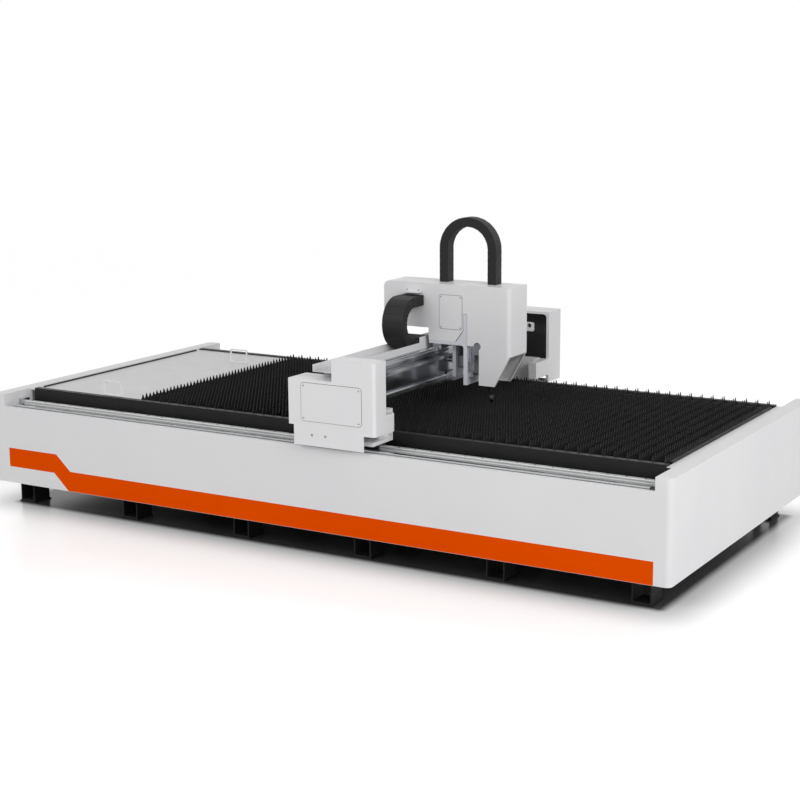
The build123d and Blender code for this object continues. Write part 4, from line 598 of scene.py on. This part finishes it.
# %% Arched chain of the vertical axis
arch_low, arch_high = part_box("z_energy_chain")
arch_height = 0.057
arch_radius = (arch_high.x - arch_low.x - arch_height) / 2
arch_middle = (arch_low.x + arch_high.x) / 2
spring_line = arch_high.z - arch_radius - arch_height / 2
leg_height = spring_line - arch_low.z
arch_runs = [("straight", leg_height, Vector((arch_middle + arch_radius, arch_low.z)), Vector((0.0, 1.0))),
             ("arc", math.pi * arch_radius, Vector((arch_middle + arch_radius, spring_line)),
              (Vector((arch_middle, spring_line)), arch_radius, 1)),
             ("straight", leg_height, Vector((arch_middle - arch_radius, spring_line)), Vector((0.0, -1.0)))]
arch_at, arch_total = chain_path(arch_runs)
arch_count = chain_links("arched_chain", arch_at, arch_total, arch_height, arch_low.y, arch_high.y,
                         lambda p, across: (p.x, across, p.y), "carriage", "z_energy_chain")
print("the arched chain has", arch_count, "links")

# %% [markdown]
# ## Racks
# Each pinion drives along a helical rack. The frame has a plain bar in its place; here the bar gets
# its teeth, cut at a slant as on a real helical rack, on the side that faces the pinion.

# %% Helical racks
rack_module, rack_lean, rack_width = 0.002, 0.008, 0.024
tooth_depth_in_modules = 2.2
tip_share, flank_share, root_share = 0.32, 0.5, 0.82


def rack_teeth(name, low, high, axis, face, body, replaced):
    """Toothed bars along x or y; face is +1 or -1 for the side across which the teeth look."""
    pitch = math.pi * rack_module
    depth = tooth_depth_in_modules * rack_module
    long_low, long_high = (low.x, high.x) if axis == "x" else (low.y, high.y)
    count = int((long_high - long_low - rack_lean) / pitch)
    sections = []
    for n in range(count):
        start = long_low + n * pitch
        sections += [(start, 0.0), (start + tip_share * pitch, 0.0), (start + flank_share * pitch, depth),
                     (start + root_share * pitch, depth)]
    sections.append((long_high - rack_lean, 0.0))
    points = []
    for distance, cut in sections:
        leaning = distance + rack_lean
        if axis == "x":
            tip = high.y - cut if face > 0 else low.y + cut
            foot = low.y if face > 0 else high.y
            points += [(distance, foot, low.z), (distance, tip, low.z), (leaning, tip, high.z),
                       (leaning, foot, high.z)]
        else:
            points += [(low.x, distance, high.z), (low.x, distance, low.z + cut),
                       (high.x, leaning, low.z + cut), (high.x, leaning, high.z)]
    faces = loft_faces(4, len(sections))
    finish = cross_rail_steel if axis == "y" else finishes["rail_steel"]
    piece = make_piece(name, points, faces, finish, body)
    if replaced:
        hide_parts(replaced)
    return count


racks_low, racks_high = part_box("x_racks")
front_rack_high = Vector((racks_high.x, racks_low.y + rack_width, racks_high.z))
back_rack_low = Vector((racks_low.x, racks_high.y - rack_width, racks_low.z))
rack_teeth("front_helical_rack", racks_low, front_rack_high, "x", 1, "bed", "x_racks")
rack_teeth("back_helical_rack", back_rack_low, racks_high, "x", -1, "bed", None)
beam_rack_low, beam_rack_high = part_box("y_rack")
teeth = rack_teeth("beam_helical_rack", beam_rack_low, beam_rack_high, "y", 0, "gantry", "y_rack")
print("teeth on the beam's rack:", teeth)

# %% [markdown]
# ## Rail screws
# Guide rails are bolted down through counterbored holes at an even pitch, and each hole is closed
# with a small cap nearly flush with the rail's head. The caps are what one sees: a row of darker
# discs.

# %% Caps of the rail holes
disc_sides, disc_sunk = 16, -0.0004
disc_wall_share, disc_crown_share = 0.6, 0.85


def disc_row(name, centres, radius, rise, normal, finish, body):
    """Low round discs with a bevelled rim, on a surface whose normal is an axis of the machine."""
    points, faces = [], []
    axis = max(range(3), key=lambda i: abs(normal[i]))
    a, b = [i for i in range(3) if i != axis]
    rings = ((radius, disc_sunk), (radius, rise * disc_wall_share), (radius * disc_crown_share, rise))
    for centre in centres:
        first = len(points)
        for ring_radius, lift in rings:
            for k in range(disc_sides):
                angle = 2 * math.pi * k / disc_sides
                point = [0.0, 0.0, 0.0]
                point[axis] = centre[axis] + lift * normal[axis]
                point[a] = centre[a] + ring_radius * math.cos(angle)
                point[b] = centre[b] + ring_radius * math.sin(angle)
                points.append(tuple(point))
        faces += loft_faces(disc_sides, len(rings), first=first)
    return make_piece(name, points, faces, finish, body)


upward_normal, cap_rise = (0, 0, 1), 0.0003
cap_finish = metal("rail_cap", (120, 122, 126), (90, 92, 96), along_x, 0.3, 0.45)
rails_low, rails_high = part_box("x_rails")
rail_width, cap_pitch, caps_on_rail, cap_radius = 0.034, 0.105, 41, 0.0075
bed_caps = []
for n in range(caps_on_rail):
    x = rails_low.x + cap_pitch / 2 + n * cap_pitch
    for y in (rails_low.y + rail_width / 2, rails_high.y - rail_width / 2):
        bed_caps.append((x, y, rails_high.z))
disc_row("bed_rail_caps", bed_caps, cap_radius, cap_rise, upward_normal, cap_finish, "bed")
cross_rail_low, cross_rail_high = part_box("y_rails")
cross_rail_width, cross_cap_pitch, caps_on_cross_rail, cross_cap_radius = 0.028, 0.08, 24, 0.005
cross_caps = []
for n in range(caps_on_cross_rail):
    y = cross_rail_low.y + cross_cap_pitch / 2 + n * cross_cap_pitch
    cross_caps.append((cross_rail_low.x + cross_rail_width / 2, y, cross_rail_high.z))
disc_row("cross_rail_caps", cross_caps, cross_cap_radius, cap_rise, upward_normal, cap_finish, "gantry")
print(len(bed_caps) + len(cross_caps), "rail caps")

# %% [markdown]
# ## Plugs in the skirt
# Two round plugs close the holes through which the gantry's drive is adjusted. They are the same low
# discs as the rail caps, turned to face the operator.

# %% Skirt plugs
cover_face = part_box("front_cover")[0].y
operator_normal = (0, -1, 0)
plug_places, plug_height, plug_radius, plug_rise = (0.176, 0.265), 0.725, 0.008, 0.0006
plug_centres = [(x, cover_face, plug_height) for x in plug_places]
plug_finish = paint("plug_grey", (160, 160, 161), (142, 142, 143), 0.45, 0.6)
disc_row("skirt_plugs", plug_centres, plug_radius, plug_rise, operator_normal, plug_finish, "gantry")
print("plugs:", len(plug_centres))

# %% [markdown]
# ## Painted shade around the access panels
# The narrow gap around each removable panel lies in shade, and that shade is painted: a fine grey
# ring around the panel. The ring lies between two rounded rectangles, raised by less than a
# millimetre, so it is built from an inner and an outer outline with the same number of points.

# %% Painted gap shade around the access panels
gap_shade_width, gap_shade_rise, gap_shade_sunk = 0.0026, 0.0006, 0.0002
corner_steps = 6
# Painted shade: a mid grey that stands for the shaded gap around each access panel.
painted_gap_shade = paint("painted_gap_shade", (128, 128, 129), (112, 112, 113), 0.6, 0.75, gloss=0.2)


def rounded_outline(low, high, radius, grow):
    """Points (x, z) of a rounded rectangle, grown outward on all sides."""
    points = []
    for corner, (side_x, side_z) in enumerate(((1, 1), (-1, 1), (-1, -1), (1, -1))):
        centre_x = (high.x - radius) if side_x > 0 else (low.x + radius)
        centre_z = (high.z - radius) if side_z > 0 else (low.z + radius)
        for step in range(corner_steps + 1):
            angle = math.pi / 2 * (corner + step / corner_steps)
            points.append((centre_x + (radius + grow) * math.cos(angle),
                           centre_z + (radius + grow) * math.sin(angle)))
    return points


def panel_gap_shade(name, panel, radius, body):
    """A thin ring around a panel that lies on a cover's front."""
    low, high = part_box(panel)
    rings = [(0.0, gap_shade_sunk), (0.0, -gap_shade_rise), (gap_shade_width, -gap_shade_rise), (gap_shade_width, gap_shade_sunk)]
    points = [(x, high.y + y, z) for grow, y in rings for x, z in rounded_outline(low, high, radius, grow)]
    count = len(points) // len(rings)
    faces = []
    for ring in range(len(rings)):
        a, b = ring * count, (ring + 1) % len(rings) * count
        faces += [(a + i, a + (i + 1) % count, b + (i + 1) % count, b + i) for i in range(count)]
    return make_piece(name, points, faces, painted_gap_shade, body)


gap_shades = [panel_gap_shade("front_panel_gap_shade", "front_access_panel", radius=0.018, body="gantry"),
         panel_gap_shade("head_panel_gap_shade", "head_access_panel", radius=0.010, body="carriage")]
print("seals:", [piece.name for piece in gap_shades])

# %% [markdown]
# ## Painted shade inside the rear cover
# Seen through its mouth, the rear cover is dark inside. That shade is painted: a sheet of mottled
# dark grey stands just inside the cover's walls. The sheet follows the walls, so its plan is a rounded
# U, drawn once on its outer and once on its inner side and pulled up to the top, with a lid of the
# same plan.

# %% Painted shade sheet in the rear cover
shade_sheet_thickness, shade_sheet_corner, corner_chords = 0.0012, 0.0167, 6
shade_sheet_left, shade_sheet_right, shade_sheet_mouth, shade_sheet_back = 0.0253, 0.5867, 0.993, 1.1782
below_top, above_foot = 0.0045, 0.002


def u_plan(inset):
    """Points (x, y) of a U that opens at the mouth and has two rounded corners at the back."""
    left, right, back = shade_sheet_left + inset, shade_sheet_right - inset, shade_sheet_back - inset
    radius = shade_sheet_corner - inset
    points = [(left, shade_sheet_mouth)]
    for centre_x, first_angle in ((left + radius, math.pi), (right - radius, math.pi / 2)):
        for step in range(corner_chords + 1):
            angle = first_angle - math.pi / 2 * step / corner_chords
            points.append((centre_x + radius * math.cos(angle), back - radius + radius * math.sin(angle)))
    points.append((right, shade_sheet_mouth))
    return points


# Painted shade: a mottled dark grey sheet where the inside of the rear cover is only in shade.
painted_shade_sheet_paint = paint("painted_shade_sheet_paint", (98, 98, 99), (62, 62, 63), 0.35, 0.7, peel_scale=60.0, relief=0.002,
                     gloss=0.4)
rear_low, rear_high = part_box("back_cover")
wall_foot, wall_top = rear_low.z + above_foot, rear_high.z - below_top
outer_plan = u_plan(0.0)
wall_plan = outer_plan + u_plan(shade_sheet_thickness)[::-1]
shade_sheet_points = [(x, y, z) for z in (wall_foot, wall_top) for x, y in wall_plan]
shade_sheet_faces = loft_faces(len(wall_plan), 2)
first = len(shade_sheet_points)
shade_sheet_points += [(x, y, z) for z in (wall_top, wall_top + shade_sheet_thickness) for x, y in outer_plan]
shade_sheet_faces += loft_faces(len(outer_plan), 2, first=first)
make_piece("rear_cover_painted_shade_sheet", shade_sheet_points, shade_sheet_faces, painted_shade_sheet_paint, "gantry")
print("the lining is", round(wall_top - wall_foot, 3), "m high")

# %% [markdown]
# ## Feet
# The bed stands on short stubs of square tube, welded under the lower beams with their open ends to
# the operator, each on a thin sole plate. The frame has a simpler section in their place. One stub is
# a ring between an outer and an inner rectangle, pulled along the machine's depth.

# %% Tube feet
feet_low, feet_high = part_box("support_feet")
foot_span, foot_rows, feet_in_row = 0.150, 2, 6
tube_half, tube_wall, tube_inset = 0.056, 0.008, 0.004
sole, sole_margin = 0.008, 0.010
foot_step = (feet_high.x - feet_low.x - foot_span) / (feet_in_row - 1)
sole_half = tube_half + sole_margin
tube_corners = [(-1, sole), (1, sole), (1, feet_high.z), (-1, feet_high.z)]
hollow_corners = [(side, z + (tube_wall if z == sole else -tube_wall)) for side, z in tube_corners]
feet_points, feet_faces = [], []
for row in range(foot_rows):
    front_y = feet_low.y if row == 0 else feet_high.y - foot_span
    back_y = front_y + foot_span
    for n in range(feet_in_row):
        middle = feet_low.x + foot_span / 2 + n * foot_step
        a = len(feet_points)
        for y in (front_y + tube_inset, back_y - tube_inset):
            feet_points += [(middle + side * tube_half, y, z) for side, z in tube_corners]
            feet_points += [(middle + side * (tube_half - tube_wall), y, z) for side, z in hollow_corners]
        b = a + 8
        for i in range(4):
            j = (i + 1) % 4
            feet_faces += [(a + i, a + j, b + j, b + i), (a + 4 + j, a + 4 + i, b + 4 + i, b + 4 + j),
                           (a + j, a + i, a + 4 + i, a + 4 + j), (b + i, b + j, b + 4 + j, b + 4 + i)]
        first = len(feet_points)
        sole_corners = ((-1, front_y), (1, front_y), (1, back_y), (-1, back_y))
        for z in (0.0, sole):
            feet_points += [(middle + side * sole_half, y, z) for side, y in sole_corners]
        feet_faces += loft_faces(4, 2, first=first)
tube_feet = make_piece("tube_feet", feet_points, feet_faces, finishes["frame_paint"], "bed")
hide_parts("support_feet")
edge = tube_feet.modifiers.new("rolled_edges", "BEVEL")
edge.width = 0.0015
edge.segments = 2
edge.limit_method = "ANGLE"
print("feet:", foot_rows * feet_in_row)

# %% [markdown]
# ## Floor, light and camera
# The machine stands on a pale floor in an even, soft light, as on a product page. A white surface
# would show its own shading, so what the camera and reflections see of the world is plain white,
# while the light that falls on the machine comes from a calmer world and two large soft panels. The
# floor glows a little for the camera, which keeps it white, but not under and close to the machine,
# so the floor there is darker by painted shade. Its own colour is dark there too, a painted shadow:
# light that bounces between a white floor and the machine's open underside would turn the deep
# shadow under the bed into a grey one.

# %% Floor
floor_size = 60.0
painted_shadow_reach, painted_shadow_albedo, open_albedo = 0.07, 0.06, 0.9
painted_shade_glow_reach, open_glow = 0.4, 0.3
dark_past_ends, dark_inside_sides = 0.02, 0.005
floor_corners = [(x * floor_size, y * floor_size, 0.0) for x, y in ((-1, -1), (1, -1), (1, 1), (-1, 1))]
floor_mesh = bpy.data.meshes.new("studio_floor")
floor_mesh.from_pydata(floor_corners, [], [(0, 1, 2, 3)])
floor = bpy.data.objects.new("studio_floor", floor_mesh)
bpy.context.scene.collection.objects.link(floor)
floor_finish = bpy.data.materials.new("pale_floor_painted_shadow")
floor_finish.use_nodes = True
floor_tree = floor_finish.node_tree
floor_surface = floor_tree.nodes["Principled BSDF"]
floor_surface.inputs["Roughness"].default_value = 0.25
floor_surface.inputs["Specular IOR Level"].default_value = 0.3
floor_surface.inputs["Emission Color"].default_value = (1, 1, 1, 1)


def floor_step(operation, first, second=None):
    """One vector operation on the floor's position."""
    step = floor_tree.nodes.new("ShaderNodeVectorMath")
    step.operation = operation
    floor_tree.links.new(first, step.inputs[0])
    if second:
        step.inputs[1].default_value = second
    return step.outputs["Value" if operation == "LENGTH" else "Vector"]


footprint = (feet_high.x + dark_past_ends, feet_high.y - dark_inside_sides, 0.0)
floor_place = floor_tree.nodes.new("ShaderNodeNewGeometry").outputs["Position"]
past_footprint = floor_step("SUBTRACT", floor_step("ABSOLUTE", floor_place), footprint)
distance_out = floor_step("LENGTH", floor_step("MAXIMUM", past_footprint, (0.0, 0.0, 0.0)))


def floor_level(reach, inside, outside):
    """A level that goes from inside, under the machine, to outside, a reach away from it."""
    level = floor_tree.nodes.new("ShaderNodeMapRange")
    level.interpolation_type = "SMOOTHSTEP"
    for socket, value in (("From Min", 0.0), ("From Max", reach), ("To Min", inside), ("To Max", outside)):
        level.inputs[socket].default_value = value
    floor_tree.links.new(distance_out, level.inputs["Value"])
    return level.outputs["Result"]


# Painted shadow: the floor's own colour falls to near black under and just around the machine's footprint.
floor_colour_painted_shadow = floor_level(painted_shadow_reach, painted_shadow_albedo, open_albedo)
floor_tree.links.new(floor_colour_painted_shadow, floor_surface.inputs["Base Color"])
# Painted shade: the camera's glow on the floor fades out near the machine, so the floor is darker there.
floor_rays = floor_tree.nodes.new("ShaderNodeLightPath")
floor_glow = floor_tree.nodes.new("ShaderNodeMath")
floor_glow.operation = "MULTIPLY"
floor_tree.links.new(floor_level(painted_shade_glow_reach, 0.0, open_glow), floor_glow.inputs[0])
floor_tree.links.new(floor_rays.outputs["Is Camera Ray"], floor_glow.inputs[1])
floor_tree.links.new(floor_glow.outputs["Value"], floor_surface.inputs["Emission Strength"])
floor_mesh.materials.append(floor_finish)
print("the floor is", 2 * floor_size, "m wide")

# %% [markdown]
# ### World
# For the camera and for reflections the world is plain white. For the light that falls on the machine
# it is a sky of five levels from the horizon up, brightest a little above the horizon, so that upright
# sheets and flat ones come out at nearly the same grey.

# %% World
sky_levels = ((0.14, 0.62), (0.28, 0.94), (0.6, 0.66))
horizon_level, zenith_level = 0.15, 0.18
world = bpy.data.worlds.new("studio")
bpy.context.scene.world = world
world.use_nodes = True
world_tree = world.node_tree
sky = world_tree.nodes["Background"]
world_rays = world_tree.nodes.new("ShaderNodeLightPath")
seen = world_rays.outputs["Is Camera Ray"]
for ray in ("Is Glossy Ray", "Is Transmission Ray"):
    either = world_tree.nodes.new("ShaderNodeMath")
    either.operation = "MAXIMUM"
    world_tree.links.new(seen, either.inputs[0])
    world_tree.links.new(world_rays.outputs[ray], either.inputs[1])
    seen = either.outputs["Value"]
height = world_tree.nodes.new("ShaderNodeSeparateXYZ")
sky_direction = world_tree.nodes.new("ShaderNodeTexCoord").outputs["Generated"]
world_tree.links.new(sky_direction, height.inputs["Vector"])
sky_ramp = world_tree.nodes.new("ShaderNodeValToRGB")
world_tree.links.new(height.outputs["Z"], sky_ramp.inputs["Fac"])
stops = sky_ramp.color_ramp.elements
stops[0].color = (horizon_level, horizon_level, horizon_level, 1)
stops[1].color = (zenith_level, zenith_level, zenith_level, 1)
for position, level in sky_levels:
    stops.new(position).color = (level, level, level, 1)
world_tree.links.new(tint(world_tree, seen, sky_ramp.outputs["Color"], (1, 1, 1, 1)), sky.inputs["Color"])
sky.inputs["Strength"].default_value = 1.0
print("the sky has", len(stops), "levels")

# %% [markdown]
# ### Lamps
# Two large panels far from the machine, one at its right end and one at the operator's side, give the
# sheets their soft gradation. The larger a lamp is for its distance, the softer its shadow.

# %% Lamps
def soft_panel(name, place, target, width, height, power):
    """A large area lamp at a place, turned to a target."""
    lamp = bpy.data.lights.new(name, "AREA")
    lamp.shape = "RECTANGLE"
    lamp.size, lamp.size_y = width, height
    lamp.energy = power
    stand = bpy.data.objects.new(name, lamp)
    stand.location = place
    stand.rotation_mode = "QUATERNION"
    stand.rotation_quaternion = (Vector(target) - Vector(place)).to_track_quat("-Z", "Y")
    bpy.context.scene.collection.objects.link(stand)
    print(name, "gives", power, "W")


soft_panel("right_panel", place=(11.0, -4.0, 6.5), target=(0.5, 0.0, 0.8), width=7.0, height=4.0, power=640)
soft_panel("front_panel_lamp", place=(-2.0, -11.0, 7.5), target=(0.0, 0.0, 0.7), width=8.0, height=4.0,
           power=330)

# %% [markdown]
# ### Camera
# The photograph was taken from in front of the right end, a little above the machine. The camera's
# place, its turn and its tilt were worked out from edges of the bed that run the same way.

# %% Camera
camera_place = Vector((5.198, -8.6215, 2.726))
turn, tilt, roll = math.radians(30.868), math.radians(11.38), math.radians(-0.416)
camera_data = bpy.data.cameras.new("product_camera")
camera_data.sensor_width = 36.0
camera_data.lens = 73.93
camera_data.clip_end = 200.0
camera = bpy.data.objects.new("product_camera", camera_data)
bpy.context.scene.collection.objects.link(camera)
forward = Vector((-math.sin(turn) * math.cos(tilt), math.cos(turn) * math.cos(tilt), -math.sin(tilt)))
level_right = Vector((math.cos(turn), math.sin(turn), 0.0))
level_up = level_right.cross(forward)
right = level_right * math.cos(roll) + level_up * math.sin(roll)
up = right.cross(forward)
camera.matrix_world = Matrix(((right.x, up.x, -forward.x, camera_place.x),
                              (right.y, up.y, -forward.y, camera_place.y),
                              (right.z, up.z, -forward.z, camera_place.z),
                              (0.0, 0.0, 0.0, 1.0)))
bpy.context.scene.camera = camera
bpy.context.scene.view_settings.view_transform = "Standard"
print("the camera stands", round(camera_place.length, 1), "m away")
